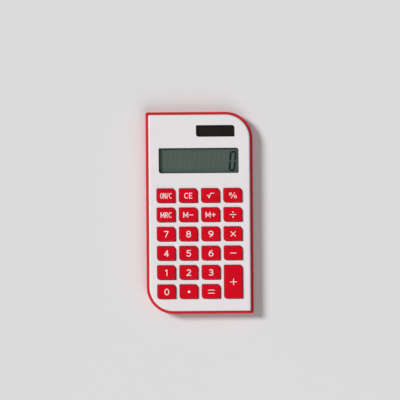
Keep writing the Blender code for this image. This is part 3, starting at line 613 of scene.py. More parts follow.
# %% [markdown]
# ## From strokes to ribbons
# A stroke becomes a ribbon of even width. Where two strokes meet at an angle, a round dot as wide as
# the stroke fills the joint, and some signs have dots of their own. Some keys carry a word, so signs
# are set side by side with an even space, and a long word is squeezed to fit its key.

# %% Ribbons, dots and words
STROKE = 0.50 * MM
DIGIT_WIDTH, DIGIT_HEIGHT = 2.35 * MM, 3.30 * MM
LETTER_HEIGHT, LETTER_SPACE = 2.85 * MM, 0.92 * MM
LETTER_WIDTHS = {"O": 1.95, "N": 1.75, "/": 1.1, "C": 1.95, "E": 1.55, "M": 2.45, "R": 1.7}
LETTER_WIDTHS |= {"-": 2.3, "+": 2.3}
JOINT = 0
DOTS = {
    "M": [(0.5, 0.22, JOINT)],
    "√": [(0.13, 0.57, JOINT), (0.29, 0, JOINT), (0.52, 0.96, JOINT)],
    "÷": [(0.5, 0.12, 0.11), (0.5, 0.88, 0.11)],
    ".": [(0.5, 0.5, 0.5)],
}


def ribbon(path, width):
    """Quads along a path; both sides lie half a width from it, further out at a bend to keep it."""
    closed = np.allclose(path[0], path[-1])
    path = np.vstack([path[:-1], path[:1] if closed else path[-1:]])
    along = np.diff(path, axis=0)
    along /= np.linalg.norm(along, axis=1, keepdims=True)
    before = np.vstack([along[-1:] if closed else along[:1], along])
    after = np.vstack([along, along[:1] if closed else along[-1:]])
    middle = before + after
    middle /= np.maximum(np.linalg.norm(middle, axis=1, keepdims=True), 1e-9)
    reach = width / 2 / np.clip((middle * before).sum(1), 0.5, 1)
    side = np.column_stack([-middle[:, 1], middle[:, 0]]) * reach[:, None]
    left, right = path + side, path - side
    return list(np.stack([right[:-1], right[1:], left[1:], left[:-1]], 1))


def printed_sign(mark, width, height, stroke):
    """Ribbons and dots of one sign about its own middle; a dot's radius is a share of the width."""
    box = np.array([width, height])
    loops = [quad for path in STROKES[mark] for quad in ribbon((path - 0.5) * box, stroke)]
    for *place, share in DOTS.get(mark, ()):
        radius = stroke / 2 if share == JOINT else share * width
        loops.append(circle(radius, (np.array(place) - 0.5) * box, 24))
    return loops


def printed_word(word, squeeze):
    """Ribbons of a row of letters about its own middle; plus and minus are as high as they are wide."""
    widths = [LETTER_WIDTHS[mark] * MM * squeeze for mark in word]
    space = LETTER_SPACE * squeeze
    left = -(sum(widths) + space * (len(word) - 1)) / 2
    loops = []
    for mark, width in zip(word, widths):
        height = width if mark in "+-" else LETTER_HEIGHT
        letter = printed_sign(mark, width, height, STROKE * (0.4 + squeeze / 2))
        loops += [loop + (left + width / 2, 0) for loop in letter]
        left += width + space
    return loops


print("ribbons in a 4:", len(printed_sign("4", DIGIT_WIDTH, DIGIT_HEIGHT, STROKE)))

# %% [markdown]
# ## The print
# Ribbons that cross are united by keeping every triangle that lies in any of them. The result is a
# film a fiftieth of a millimetre thick. It follows the key's top because each of its points asks
# the same swell formula for its height, and a narrow wall round every boundary closes its edge.

# %% Printed signs
WORDS = {
    "key_on_clear": ("ON/C", 0.69),
    "key_clear_entry": ("CE", 1.0),
    "key_memory_recall": ("MRC", 0.78),
    "key_memory_minus": ("M-", 1.0),
    "key_memory_plus": ("M+", 1.0),
}
SIGNS = {
    "key_root": ("√", 4.1, 2.85),
    "key_percent": ("%", 4.2, 3.192),
    "key_divide": ("÷", 3.8, 3.8),
    "key_multiply": ("x", 2.9, 2.9),
    "key_minus": ("-", 3.6, 3.6),
    "key_plus": ("+", 3.8, 3.8),
    "key_equals": ("=", 3.75, 3.75),
    "key_point": (".", 1.45, 1.45),
}
SIGN_STROKE, PERCENT_STROKE = 0.43 * MM, 0.37 * MM


def film(loops, top, thickness):
    """A closed film over the union of loops; top(points) is its upper face's height at each point."""
    places, faces = triangles_in(loops, lambda inside: len(inside) > 0)
    sides = np.concatenate([faces[:, [0, 1]], faces[:, [1, 2]], faces[:, [2, 0]]])
    number = len(places)
    outer = sides[~np.isin(sides[:, 0] * number + sides[:, 1], sides[:, 1] * number + sides[:, 0])]
    heights = top(places)[:, None]
    points = np.concatenate([np.hstack([places, heights]), np.hstack([places, heights - thickness])])
    walls = np.column_stack([outer[:, 1], outer[:, 0], outer[:, 0] + number, outer[:, 1] + number])
    return points, [faces, faces[:, ::-1] + number, walls]


def key_print(node):
    """The film of a key's sign, on its swollen top."""
    if node in WORDS:
        loops = printed_word(*WORDS[node])
    elif node in SIGNS:
        mark, width, height = SIGNS[node]
        loops = printed_sign(mark, width * MM, height * MM, PERCENT_STROKE if mark == "%" else SIGN_STROKE)
    else:
        loops = printed_sign(node[-1], DIGIT_WIDTH, DIGIT_HEIGHT, STROKE)
    half = key_size(node) / 2
    points, faces = film(loops, lambda places: KEY_TOP + INK - swell(places, half), 1.6 * INK)
    points[:, :2] += middle_of(node)
    return points, faces


for name in KEY_NAMES:
    piece(f"print_on_{name}", [key_print(name)], PRINT_INK, name)
print("printed signs:", len(KEY_NAMES))

# %% [markdown]
# ## Holes for the keys
# The cover has a hole for every key. Each opening has a tiny rounded lip, so that it catches a
# thread of light, and a narrow flat ring round it keeps the shading of the face even.

# %% Key holes
COVER_FACE = 1.6 * MM
LIP = 0.16 * MM
FLAT_RING = 0.12 * MM
KEY_GAP = 0.25 * MM
FACE_TOP = heights_of("front_case")[1]
FACE_LOW = FACE_TOP - COVER_FACE


def lip_down(outline, low):
    """Rings from a flat ring round an opening, over its lip and down its wall.

    outline(outset) gives the opening, larger by the outset all round.
    """

    def ring(outset, height):
        return lifted(outline(outset), height)

    return [ring(LIP + FLAT_RING, FACE_TOP), *edge_above(ring, LIP, FACE_TOP, 5)[::-1], ring(0.0, low)]


def key_hole(node):
    """The rings of one key's hole, from the face to the inside of the cover."""
    width, depth = key_size(node)

    def outline(outset):
        return leaf(width, depth, KEY_ROUND, KEY_SHARP, -KEY_GAP - outset, middle_of(node), KEY_STEPS)

    return lip_down(outline, FACE_LOW)


openings = [key_hole(name) for name in KEY_NAMES]
print("key holes:", len(openings), "with", len(openings[0]), "rings each")

# %% [markdown]
# ## Openings for the windows
# A clear window is glued into a bed behind the face, a little larger than the opening that it
# closes. So an opening's rings go down its wall, out along the bed, down inside a low frame and
# back up outside it.

# %% Window openings
PANE_LAP, PANE_LEDGE = 1.2 * MM, 1.8 * MM
DISPLAY_ROUND, DISPLAY_SHARP = 1.6 * MM, 0.6 * MM
SOLAR_ROUND, SOLAR_SHARP = 1.7 * MM, 0.4 * MM
BED_SHARP = 0.1 * MM
BED_PLAY, BED_WALL = 0.2 * MM, 1.0 * MM
BED_GAP = 0.3 * MM


def window(node, ledge, rounded, sharp):
    """A window's opening: its outline by outset, and its bed's outline by how far it is from the pane."""
    size, centre = size_of(node), middle_of(node)
    width, depth = size.x - 2 * PANE_LAP, size.y - 2 * PANE_LAP - ledge

    def opening(outset):
        return leaf(width, depth, rounded, sharp, -outset, centre + (0.0, ledge / 2))

    def bed(outset):
        return leaf(size.x, size.y, BED_SHARP, BED_SHARP, -outset, centre)

    return opening, bed


def window_well(node, opening, bed, low):
    """The rings of a window's opening, its bed and the frame behind it, which reaches down to low."""
    ceiling = heights_of(node)[1] + BED_GAP
    outer = BED_PLAY + BED_WALL
    frame_rings = ((BED_PLAY, ceiling), (BED_PLAY, low), (outer, low), (outer, FACE_LOW))
    return lip_down(opening, ceiling) + [lifted(bed(outset), height) for outset, height in frame_rings]


DISPLAY_OPENING, DISPLAY_BED = window("display_window", PANE_LEDGE, DISPLAY_ROUND, DISPLAY_SHARP)
SOLAR_OPENING, SOLAR_BED = window("solar_window", 0.0, SOLAR_ROUND, SOLAR_SHARP)
COVER_FOOT = heights_of("front_case")[0]
DISPLAY_FRAME_LOW = COVER_FOOT + 0.6 * MM
SOLAR_FRAME_LOW = heights_of("solar_cell")[0] - BED_GAP
openings.append(window_well("display_window", DISPLAY_OPENING, DISPLAY_BED, DISPLAY_FRAME_LOW))
openings.append(window_well("solar_window", SOLAR_OPENING, SOLAR_BED, SOLAR_FRAME_LOW))
print("openings:", len(openings))

# %% [markdown]
# ## The white cover
# The cover is one moulding: its skin runs up the inside of the wall, over a softly rounded edge and
# onto the face. Behind the face stand ten hollow bosses that the screws bite into. Each is a turned
# shape that starts a little inside the face, as a moulded boss does.

# %% White cover
CASE_ROUND, CASE_SHARP = 16.0 * MM, 1.0 * MM
COVER_SHARP = 0.8 * MM
COVER_WALL, COVER_EDGE = 1.3 * MM, 1.0 * MM
SKIRT_LOW = 4.9 * MM
BOSS, BOSS_SINK = 1.6 * MM, 0.4 * MM
CASE_PILOT, BOARD_PILOT = 0.95 * MM, 0.75 * MM
CASE_SCREWS = sorted(name for name in NODES if name.startswith("case_screw"))
BOARD_SCREWS = sorted(name for name in NODES if name.startswith("board_screw"))
COVER_SIZE = size_of("front_case")
COVER_ROUND = CASE_ROUND - (size_of("back_case").x - COVER_SIZE.x) / 2


def cover_ring(inset, height):
    """The cover's outline, drawn in by the inset."""
    return lifted(leaf(COVER_SIZE.x, COVER_SIZE.y, COVER_ROUND, COVER_SHARP, inset, steps=36), height)


def boss(node, pilot):
    """A boss round a screw, with a pilot hole that ends below the face."""
    outside = [(BOSS, FACE_LOW + BOSS_SINK), (BOSS, COVER_FOOT + LIP), (BOSS - LIP, COVER_FOOT)]
    return turned(outside + [(pilot, COVER_FOOT), (pilot, FACE_LOW - BED_GAP)], middle_of(node), 32)


rings = [cover_ring(COVER_WALL, FACE_LOW), cover_ring(COVER_WALL, SKIRT_LOW), cover_ring(0.0, SKIRT_LOW)]
rings += edge_above(cover_ring, COVER_EDGE, FACE_TOP, 12)
rings.append(cover_ring(COVER_EDGE + 2 * FLAT_RING, FACE_TOP))
cover = [skin(rings)] + [skin(hole) for hole in openings]
cover.append(sheet(rings[-1], [hole[0] for hole in openings], FACE_TOP))
cover.append(sheet(rings[0], [hole[-1] for hole in openings], FACE_LOW))
cover += [boss(name, CASE_PILOT) for name in CASE_SCREWS]
cover += [boss(name, BOARD_PILOT) for name in BOARD_SCREWS]
piece("white_cover", cover, WHITE_PLASTIC, stands_for="front_case")
print("cover:", len(openings), "openings and", len(CASE_SCREWS + BOARD_SCREWS), "bosses")

# %% [markdown]
# ## The red tub
# The tub's skin starts on the flat of its back, runs round a full base edge, up the wall, over a
# small rim and down inside to the floor. At each screw it turns inwards instead: a pocket for the
# head, a hole for the shank and the post that carries the cover's boss. Small pegs hold the board.

# %% Tub shell
TUB_FLOOR, TUB_WALL = 1.4 * MM, 1.5 * MM
TUB_TOP = 7.2 * MM
BASE_EDGE, RIM_EDGE = 1.6 * MM, 0.5 * MM
POST, POCKET, POCKET_DEPTH, SHANK_HOLE = 2.2 * MM, 1.7 * MM, 1.7 * MM, 1.1 * MM
PEG = 1.0 * MM
TUB_SIZE = size_of("back_case")
BOARD_LOW, BOARD_HIGH = heights_of("main_board")


def tub_ring(inset, height):
    """The tub's outline, drawn in by the inset."""
    return lifted(leaf(TUB_SIZE.x, TUB_SIZE.y, CASE_ROUND, CASE_SHARP, inset, steps=36), height)


def post(node):
    """The rings of a screw's pocket, its hole and the post round it, from the back to the floor."""
    profile = [(POCKET + LIP + FLAT_RING, 0.0)]
    profile += edge_below(lambda outset, height: (POCKET + outset, height), LIP, 0.0, 4)
    profile += [(POCKET, POCKET_DEPTH), (SHANK_HOLE, POCKET_DEPTH), (SHANK_HOLE, BOARD_HIGH)]
    profile += [(POST - LIP, BOARD_HIGH), (POST, BOARD_HIGH - LIP), (POST, TUB_FLOOR)]
    return turned_rings(profile, middle_of(node))


def peg(x, y):
    """The rings of a peg that the board rests over, from its top to the floor."""
    top = BOARD_LOW - BED_GAP
    return turned_rings([(0.2 * PEG, top), (PEG - LIP, top), (PEG, top - LIP), (PEG, TUB_FLOOR)], (x, y), 24)


COLUMN, ROW = middle_of("key_9") - middle_of("key_5")
LAST_ROW = middle_of("key_0")[1]
rings = [tub_ring(BASE_EDGE + 2 * FLAT_RING, 0.0)]
rings += edge_below(tub_ring, BASE_EDGE, 0.0, 12) + edge_above(tub_ring, RIM_EDGE, TUB_TOP, 8)
inside = ((RIM_EDGE + FLAT_RING, TUB_TOP), (TUB_WALL, TUB_TOP), (TUB_WALL, TUB_FLOOR))
rings += [tub_ring(inset, height) for inset, height in inside]
posts = [post(name) for name in CASE_SCREWS]
pegs = [peg(side * COLUMN, LAST_ROW + (row + 0.5) * ROW) for side in (-1, 1) for row in (0, 2, 4)]
tub = [skin(rings)] + [skin(rise) for rise in posts] + [skin(rise, first=True) for rise in pegs]
tub.append(sheet(rings[0], [rise[0] for rise in posts], 0.0))
tub.append(sheet(rings[-1], [rise[-1] for rise in posts + pegs], TUB_FLOOR))
print("tub:", len(posts), "posts and", len(pegs), "pegs")

# %% [markdown]
# ## The cell's well and the door's slot
# The button cell lies in a well of its own. Its door slides in from the display end on two tongues
# that run in a slot just above the floor. Each cut here is a block with the door's size plus a
# sliding gap, so the door can move and nothing else shows. The well crosses the tub's wall and
# floor, so it is added and cut as solids.

# %% Cell well and door slot
SLIDE = 0.3 * MM
WELL_WALL, WELL_ROOF, WELL_HEADROOM = 1.0 * MM, 0.7 * MM, 1.2 * MM
TONGUE_REACH, TONGUE, TONGUE_RISE = 1.1 * MM, 0.8 * MM, 0.2 * MM
DOOR_LIP = 3.1 * MM
CONTACT_SLOT = 0.7 * MM

DOOR_X, DOOR_FOOT = middle_of("battery_door")[0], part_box("battery_door")[0].y
DOOR_HALF = size_of("battery_door").x / 2 - TONGUE_REACH
TUB_END = TUB_SIZE.y / 2
WELL_FOOT, WELL_TOP = DOOR_FOOT - SLIDE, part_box("cell_can")[1].y + 0.8 * MM
WELL_HALF = DOOR_HALF + TONGUE_REACH + SLIDE
WELL_CEILING = heights_of("cell_cap")[1] + WELL_HEADROOM


def block(low, high, edge=0.0):
    """A closed box between two corners, its upright edges rounded and its flat ends drawn in by edge."""
    low, high = np.array(low), np.array(high)
    size, middle = high - low, (low + high) / 2

    def ring(inset, height):
        return lifted(leaf(size[0], size[1], 2 * edge, 2 * edge, inset, middle[:2], steps=4), height)

    if edge:
        rings = edge_below(ring, edge, low[2], 3) + edge_above(ring, edge, high[2], 3)
    else:
        rings = [ring(0.0, low[2]), ring(0.0, high[2])]
    return skin(rings, first=True, last=True)


def across_door(half, foot, end, low, high):
    """A plain block that is centred on the door."""
    return block((DOOR_X - half, foot, low), (DOOR_X + half, end, high))


tail_low, tail_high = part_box("cell_contact_side")
tail_x = tail_high.x - 0.125 * MM
tongue_top = TUB_FLOOR + TONGUE_RISE + TONGUE + SLIDE
contact_top = BOARD_HIGH + 0.85 * MM
slot_foot, slot_end = WELL_FOOT - 2 * WELL_WALL, WELL_FOOT + WELL_WALL
well_top = WELL_CEILING + WELL_ROOF
WELL_SINK = 0.7 * MM
well = across_door(WELL_HALF + WELL_WALL, WELL_FOOT - WELL_WALL, WELL_TOP + WELL_WALL, WELL_SINK, well_top)
cuts = [
    across_door(WELL_HALF, WELL_FOOT, WELL_TOP, TUB_FLOOR, WELL_CEILING),
    across_door(WELL_HALF, WELL_FOOT, TUB_END + WELL_WALL, TUB_FLOOR, tongue_top),
    across_door(DOOR_HALF + SLIDE, WELL_FOOT, TUB_END + 2 * WELL_WALL, -WELL_WALL, DOOR_LIP + SLIDE),
    across_door(1.5 * MM + SLIDE, slot_foot, slot_end, BOARD_HIGH, contact_top),
    block(
        (tail_x - CONTACT_SLOT / 2, slot_foot, tail_low.z - SLIDE),
        (tail_x + CONTACT_SLOT / 2, slot_end, tail_high.z + SLIDE),
    ),
]
piece("red_tub", tub, RED_PLASTIC, stands_for="back_case", unite=[well], cut=cuts)
print("well:", round(2 * WELL_HALF / MM, 1), "mm wide")

# %% [markdown]
# ## The battery door
# Seen from the side, the door's section is an L that follows the tub's base edge. Carrying the
# section across the door gives its shape, and the flat of it is a height map: a bank of grooves for
# the thumb, deepest in the middle and running out before the door's sides. Two ribs stiffen it, and
# two tongues hold it in its slot.

# %% Battery door
DOOR_CHAMFER = 0.18 * MM
GROOVES, GROOVE_PITCH, GROOVE_DEPTH = 5, 1.1 * MM, 0.28 * MM
GRIP_HALF, GRIP_FOOT = 4.4 * MM, 2.2 * MM
DOOR_INSIDE = TUB_END - TUB_WALL
RIB, RIB_HEIGHT = 1.0 * MM, 1.2 * MM
ALONG, ACROSS = 160, 61


def groove(x, y):
    """How far the underside is cut in: a row of cosine waves along Y, faded towards both sides."""
    along = (y - DOOR_FOOT - GRIP_FOOT) / GROOVE_PITCH
    inside = (along > 0) & (along < GROOVES)
    fade = np.clip(1 - (np.abs(x - DOOR_X) / GRIP_HALF) ** 6, 0, 1)
    return GROOVE_DEPTH * fade * inside * (1 - np.cos(2 * np.pi * along)) / 2


def drawn_inside(section, inset):
    """A closed section with each point moved inwards, square to the mean of its two sides."""
    along = np.roll(section, -1, 0) - np.roll(section, 1, 0)
    along /= np.linalg.norm(along, axis=1, keepdims=True)
    return section + inset * np.column_stack([-along[:, 1], along[:, 0]])


def door_plate():
    """The section of (y, z) points, carried along X; the first and last rings are drawn inside."""
    flat = np.column_stack([np.linspace(DOOR_FOOT, TUB_END - BASE_EDGE, ALONG), np.zeros(ALONG)])
    base = edge_below(lambda inset, height: (TUB_END - inset, height), BASE_EDGE, 0.0, 12)[1:]
    lip = [(TUB_END, DOOR_LIP - DOOR_CHAMFER), (TUB_END - DOOR_CHAMFER, DOOR_LIP), (DOOR_INSIDE, DOOR_LIP)]
    section = np.concatenate([flat, base, lip, [(DOOR_INSIDE, TUB_FLOOR), (DOOR_FOOT, TUB_FLOOR)]])
    across = np.linspace(-DOOR_HALF, DOOR_HALF, ACROSS)
    across[[1, -2]] = DOOR_CHAMFER - DOOR_HALF, DOOR_HALF - DOOR_CHAMFER
    inner = drawn_inside(section, DOOR_CHAMFER)
    plans = np.stack([inner] + [section] * (ACROSS - 2) + [inner])
    x = np.broadcast_to(across[:, None] + DOOR_X, plans.shape[:2])
    rings = np.stack([x, plans[..., 0], plans[..., 1]], -1)
    rings[:, :ALONG, 2] += groove(rings[:, :ALONG, 0], rings[:, :ALONG, 1])
    return skin(rings, first=True, last=True)


def door_side(side):
    """One rib and one tongue; side is -1 or 1."""
    inner, outer = DOOR_HALF - RIB, DOOR_HALF - SLIDE / 2
    end, tongue_low = TUB_END - TUB_WALL / 2, TUB_FLOOR + TONGUE_RISE

    def bar_between(near, far, foot, low, high):
        left, right = sorted((DOOR_X + side * near, DOOR_X + side * far))
        return block((left, foot, low), (right, end, high), LIP)

    rib = bar_between(inner, outer, DOOR_FOOT + SLIDE / 2, TUB_FLOOR / 2, TUB_FLOOR + RIB_HEIGHT)
    middle, reach = (inner + outer) / 2, DOOR_HALF + TONGUE_REACH
    return [rib, bar_between(middle, reach, DOOR_FOOT + SLIDE, tongue_low, tongue_low + TONGUE)]


door = [door_plate(), *door_side(-1), *door_side(1)]
piece("door", door, RED_PLASTIC, "battery_door", "battery_door")
print("door:", round(2 * DOOR_HALF / MM, 1), "mm wide with", GROOVES, "grooves")

# %% [markdown]
# ## Screws
# The head of a cross-head screw is easy as a height map on a round grid: a shallow dome, minus a
# cross whose arms get narrower and shallower outwards. The shank is a tube whose radius follows a
# saw-tooth of height plus turn, which is what a thread is.

# %% Screw shape
STEEL = Finish("screw_steel", (0.56, 0.56, 0.58), 0.28, Metallic=1.0)
STEEL.toned(STEEL.noise(600, 3), (0.46, 0.47, 0.50), (0.66, 0.66, 0.65))
STEEL.glossed(STEEL.noise(2500, 4), 0.18, 0.40)
STEEL.raised(STEEL.noise(9000, 2), 0.006 * MM)

THREAD_PITCH, THREAD_DEPTH = 0.6 * MM, 0.20
SCREW_SIDES = 64
ARM_WIDTH, ARM_SLOPE = 0.17, 0.06
ARM_REACH, REACH_SLOPE = 0.62, 0.08
HEAD_ROUND = 0.14
CASE_SCREW = (1.4 * MM, 0.9 * MM, 0.8 * MM)
BOARD_SCREW = (1.2 * MM, 0.6 * MM, 0.6 * MM)


def screw(node, head_radius, head, shank):
    """A screw that points up: head grid, then the shank up to its tip, all about its own axis."""
    low, high = heights_of(node)
    turns = 2 * np.pi * np.arange(SCREW_SIDES) / SCREW_SIDES
    rim = 1 - HEAD_ROUND * np.cos(np.linspace(0, np.pi / 2, 6)[1:])
    shares = np.concatenate([np.linspace(0.02, 1 - HEAD_ROUND, 22), rim])[:, None]
    x, y = head_radius * shares * np.cos(turns), head_radius * shares * np.sin(turns)
    arm = np.minimum(np.abs(x), np.abs(y)) / head_radius
    reach = np.maximum(np.abs(x), np.abs(y)) / head_radius
    cross = np.clip((ARM_WIDTH - arm) / ARM_SLOPE, 0, 1) * np.clip((ARM_REACH - reach) / REACH_SLOPE, 0, 1)
    dome = 0.25 * head * (np.clip(shares - 0.5, 0, 1) * 2) ** 3
    grid = np.stack([x, y, low + dome + 0.6 * head * cross * (1 - 0.5 * reach)], -1)
    rise = np.linspace(low + head, high - shank, 60)[:, None]
    wave = np.abs((rise / THREAD_PITCH + turns / (2 * np.pi)) % 1 - 0.5) * 2
    thread = shank * (1 - THREAD_DEPTH + THREAD_DEPTH * wave)
    shaft = np.stack([thread * np.cos(turns), thread * np.sin(turns), rise + 0 * thread], -1)
    root = shank * (1 - THREAD_DEPTH)
    seat = turned_rings([(head_radius, low + head), (root, low + head)], sides=SCREW_SIDES)
    tip = turned_rings([(shank * 0.6, high - shank / 2), (shank * 0.1, high)], sides=SCREW_SIDES)
    points, faces = skin(np.concatenate([grid, seat, shaft, tip]), first=True, last=True)
    points[:, :2] += middle_of(node)
    return points, faces


for name in CASE_SCREWS + BOARD_SCREWS:
    sizes = CASE_SCREW if name in CASE_SCREWS else BOARD_SCREW
    piece(f"steel_{name}", [screw(name, *sizes)], STEEL.material, stands_for=name)
print("screws:", len(CASE_SCREWS), "in the case and", len(BOARD_SCREWS), "in the board")

# %% [markdown]
# ## Clear windows
# A clear pane hardly changes the light that goes straight through it. Mixing a transparent shader
# with a mirror by the Fresnel share gives that, and it lets lamps reach the display without the
# noise of real refraction. The share is counted on front faces only: light does not bend here, so a
# slanting ray inside the pane would be turned back at its rear face, which a real pane never does.

# %% Windows
CLEAR = Finish("clear_acrylic", (0.95, 0.96, 0.96), 0.05, Metallic=1.0)
gloss = CLEAR.fitted(CLEAR.noise(160, 4), 0.35, 0.75, 0.07, 0.10)
CLEAR.link(gloss, CLEAR.shader.inputs["Roughness"])
CLEAR.raised(CLEAR.noise(60, 1), 0.001 * MM)
through = CLEAR.node("ShaderNodeBsdfTransparent")
through.inputs["Color"].default_value = (0.95, 0.97, 0.96, 1.0)
blend = CLEAR.node("ShaderNodeMixShader")
front = CLEAR.maths("SUBTRACT", 1.0, CLEAR.node("ShaderNodeNewGeometry").outputs["Backfacing"])
mirrored = CLEAR.maths("MULTIPLY", CLEAR.node("ShaderNodeFresnel").outputs["Fac"], front)
CLEAR.link(mirrored, blend.inputs[0])
CLEAR.link(through.outputs["BSDF"], blend.inputs[1])
CLEAR.link(CLEAR.shader.outputs["BSDF"], blend.inputs[2])
CLEAR.link(blend.outputs["Shader"], CLEAR.nodes["Material Output"].inputs["Surface"])

PANE_EDGE = 0.12 * MM


def pane(node):
    """A plate the size of a node's box, with fine rounded edges."""
    return [block(*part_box(node), PANE_EDGE)]


for name in ("display_window", "solar_window"):
    piece(f"clear_{name}", pane(name), CLEAR.material, stands_for=name)
    print(name, [round(side / MM, 2) for side in size_of(name)], "mm")

# %% [markdown]
# ## The display
# A pocket display has eight figures of seven bars each. The glass looks grey-green because its
# polarisers pass a third of the light, and a bar that is switched on turns almost black. The idle
# bars can just be made out on a real one, so they are here too, one shade darker than the glass.

# %% Display glass
GLASS = Finish("display_glass", (0.105, 0.137, 0.117), 0.22, Specular_IOR_Level=0.25)
GLASS.toned(GLASS.noise(45, 3), (0.100, 0.131, 0.111), (0.110, 0.143, 0.122))
GLASS.glossed(GLASS.noise(300, 3), 0.16, 0.28)
GLASS.raised(GLASS.noise(7000, 2), 0.002 * MM)
DARK_BAR = moulded("dark_bar", (0.002, 0.008, 0.018), 0.22, 7000, 0.002 * MM, 0.10, Specular_IOR_Level=0.25)
IDLE_BAR = moulded("idle_bar", (0.098, 0.129, 0.110), 0.22, 7000, 0.002 * MM, 0.02, Specular_IOR_Level=0.25)
glass = "lcd_front_glass"
GLASS_TOP = heights_of(glass)[1]
piece("front_glass", pane(glass), GLASS.material, stands_for=glass)
print("glass:", [round(side / MM, 2) for side in size_of(glass)], "mm")

# %% [markdown]
# ## The figures
# A figure leans a little to the right, which is a shear: each point moves right by a share of its
# height. Three of the seven bars are drawn and the others are mirrored from them. The bars of all
# figures lie on the glass as two thin films, one dark and one idle.

# %% Bars
FIGURES = 8
FIGURE_WIDTH, FIGURE_HEIGHT, FIGURE_PITCH = 4.0 * MM, 11.8 * MM, 5.65 * MM
BAR, BAR_GAP, SIDE_FOOT = 1.1 * MM, 0.11 * MM, 0.28 * MM
LEAN = math.tan(math.radians(5))
FIGURE_MARGIN, FIGURE_DROP = 1.0 * MM, 0.35 * MM
BAR_FILM = 0.012 * MM
ZERO, EIGHT = "abcdef", "abcdefg"


def bar(name):
    """One of the seven bars as a loop of points; a is the top one, then clockwise, and g the middle.

    The bars a, f and g are drawn, and the others are mirrored from a and f.
    """
    w, h, t, g = FIGURE_WIDTH, FIGURE_HEIGHT, BAR, BAR_GAP
    foot, slant = h / 2 + SIDE_FOOT, 1.4 * t + g
    if name in "ad":
        loop = [(g + t / 4, h), (t + g, h - t), (w - t - g, h - t), (w - g - t / 4, h)]
    elif name in "bcef":
        loop = [(0, h - t / 4 - g), (0, foot), (t / 2, foot - t / 10), (t, foot + 0.3 * t), (t, h - t - g)]
    else:
        loop = [(t + g, h / 2), (slant, (h - t) / 2), (w - slant, (h - t) / 2)]
        loop += [(w - t - g, h / 2), (w - slant, (h + t) / 2), (slant, (h + t) / 2)]
    loop = np.array(loop)
    if name in "bc":
        loop = (w, 0) + loop * (-1, 1)
    if name in "cde":
        loop = (0, h) + loop * (1, -1)
    return loop


def anticlockwise(loop):
    """The same loop, turned round if its signed area is negative."""
    x, y = loop.T
    area = (x * np.roll(y, -1) - np.roll(x, -1) * y).sum()
    return loop if area > 0 else loop[::-1]


def figure(number, names):
    """The bars of one figure, sheared so that x grows by LEAN times y; number 0 is the rightmost."""
    outline = DISPLAY_OPENING(0.0)
    right = outline[:, 0].max() - FIGURE_MARGIN - number * FIGURE_PITCH
    left = right - FIGURE_WIDTH - FIGURE_HEIGHT * LEAN
    foot = outline[:, 1].mean() - FIGURE_HEIGHT / 2 - FIGURE_DROP
    return [anticlockwise(bar(name)) @ [[1, 0], [LEAN, 1]] + (left, foot) for name in names]


def bars(loops, thickness):
    """A film over bars, on the glass."""
    return [film(loops, lambda places: np.full(len(places), GLASS_TOP + thickness), 2 * thickness)]


piece("shown_figure", bars(figure(0, ZERO), BAR_FILM), DARK_BAR)
idle = [loop for number in range(FIGURES) for loop in figure(number, EIGHT if number else "g")]
piece("idle_figures", bars(idle, BAR_FILM / 2), IDLE_BAR)
print("display:", FIGURES, "figures,", len(idle) + len(ZERO), "bars")

# %% [markdown]
# ## The gasket and painted shade
# A dark gasket frames the glass under the opening's edge and hides its contacts. It is a flat ring
# between two outlines. The width of it that shows is also painted shade: it stands in for the shadow
# that the opening's wall throws on the glass.

# %% Gasket
# How far the dark ring shows inside the opening. Part of that width is painted shade, for the shadow that
# the opening's wall throws on the glass.
GASKET_AND_SHADE_SHOWS, GASKET_PLAY, GASKET = 0.45 * MM, 0.3 * MM, 0.12 * MM
DARK_GASKET_AND_SHADE = moulded("gasket_black_and_painted_shade", (0.018, 0.019, 0.020), 0.6, 4000, 0.01 * MM, 0.15)

low = GLASS_TOP + 0.05 * MM
inner, outer = DISPLAY_OPENING(-GASKET_AND_SHADE_SHOWS), DISPLAY_BED(-GASKET_PLAY)
rings = [lifted(inner, low), lifted(outer, low), lifted(outer, low + GASKET), lifted(inner, low + GASKET)]
piece("display_gasket_and_painted_shade", [skin(rings + rings[:1])], DARK_GASKET_AND_SHADE)
print("gasket:", GASKET / MM, "mm thick")

# %% [markdown]
# ## The solar cell
# A strip of amorphous silicon on glass: brown-black, with four cells in a row that laser-cut lines
# divide. The lines are part of the finish: a wave of the cell's own X coordinate that is bright
# only near its crest.

# %% Solar cell
SOLAR = Finish("solar_glass", (0.016, 0.011, 0.010), 0.18, Specular_IOR_Level=0.25)
CELLS = 4
cell_pitch = size_of("solar_cell").x / CELLS
from_left = SOLAR.maths("SUBTRACT", SOLAR.axis(0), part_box("solar_cell")[0].x)
phase = SOLAR.maths("FRACT", SOLAR.maths("DIVIDE", from_left, cell_pitch))
from_middle = SOLAR.maths("ABSOLUTE", SOLAR.maths("SUBTRACT", phase, 0.5))
line_share = SOLAR.fitted(from_middle, 0.488, 0.496, 0.0, 0.7)
patches = SOLAR.fitted(SOLAR.noise(120, 3), 0.3, 0.7)
silicon = SOLAR.mixed(patches, (0.012, 0.0070, 0.0060), (0.017, 0.0105, 0.0090))
SOLAR.colour(SOLAR.mixed(line_share, silicon, (0.040, 0.033, 0.031)))
SOLAR.glossed(SOLAR.noise(500, 3), 0.12, 0.24)
SOLAR.raised(SOLAR.noise(5000, 2), 0.002 * MM)
piece("silicon_strip", pane("solar_cell"), SOLAR.material, stands_for="solar_cell")
print("cell pitch:", round(cell_pitch / MM, 2), "mm")

# %% [markdown]
# ## The rubber mat
# Under the keys lies one silicone sheet with a hollow dome for each. Here the sheet and the domes
# are pieces of their own, because a pressed key flattens only its dome. Each dome is a turned
# skin: an S-shaped wall, a thick roof and, inside it, the carbon pill that closes the contact.

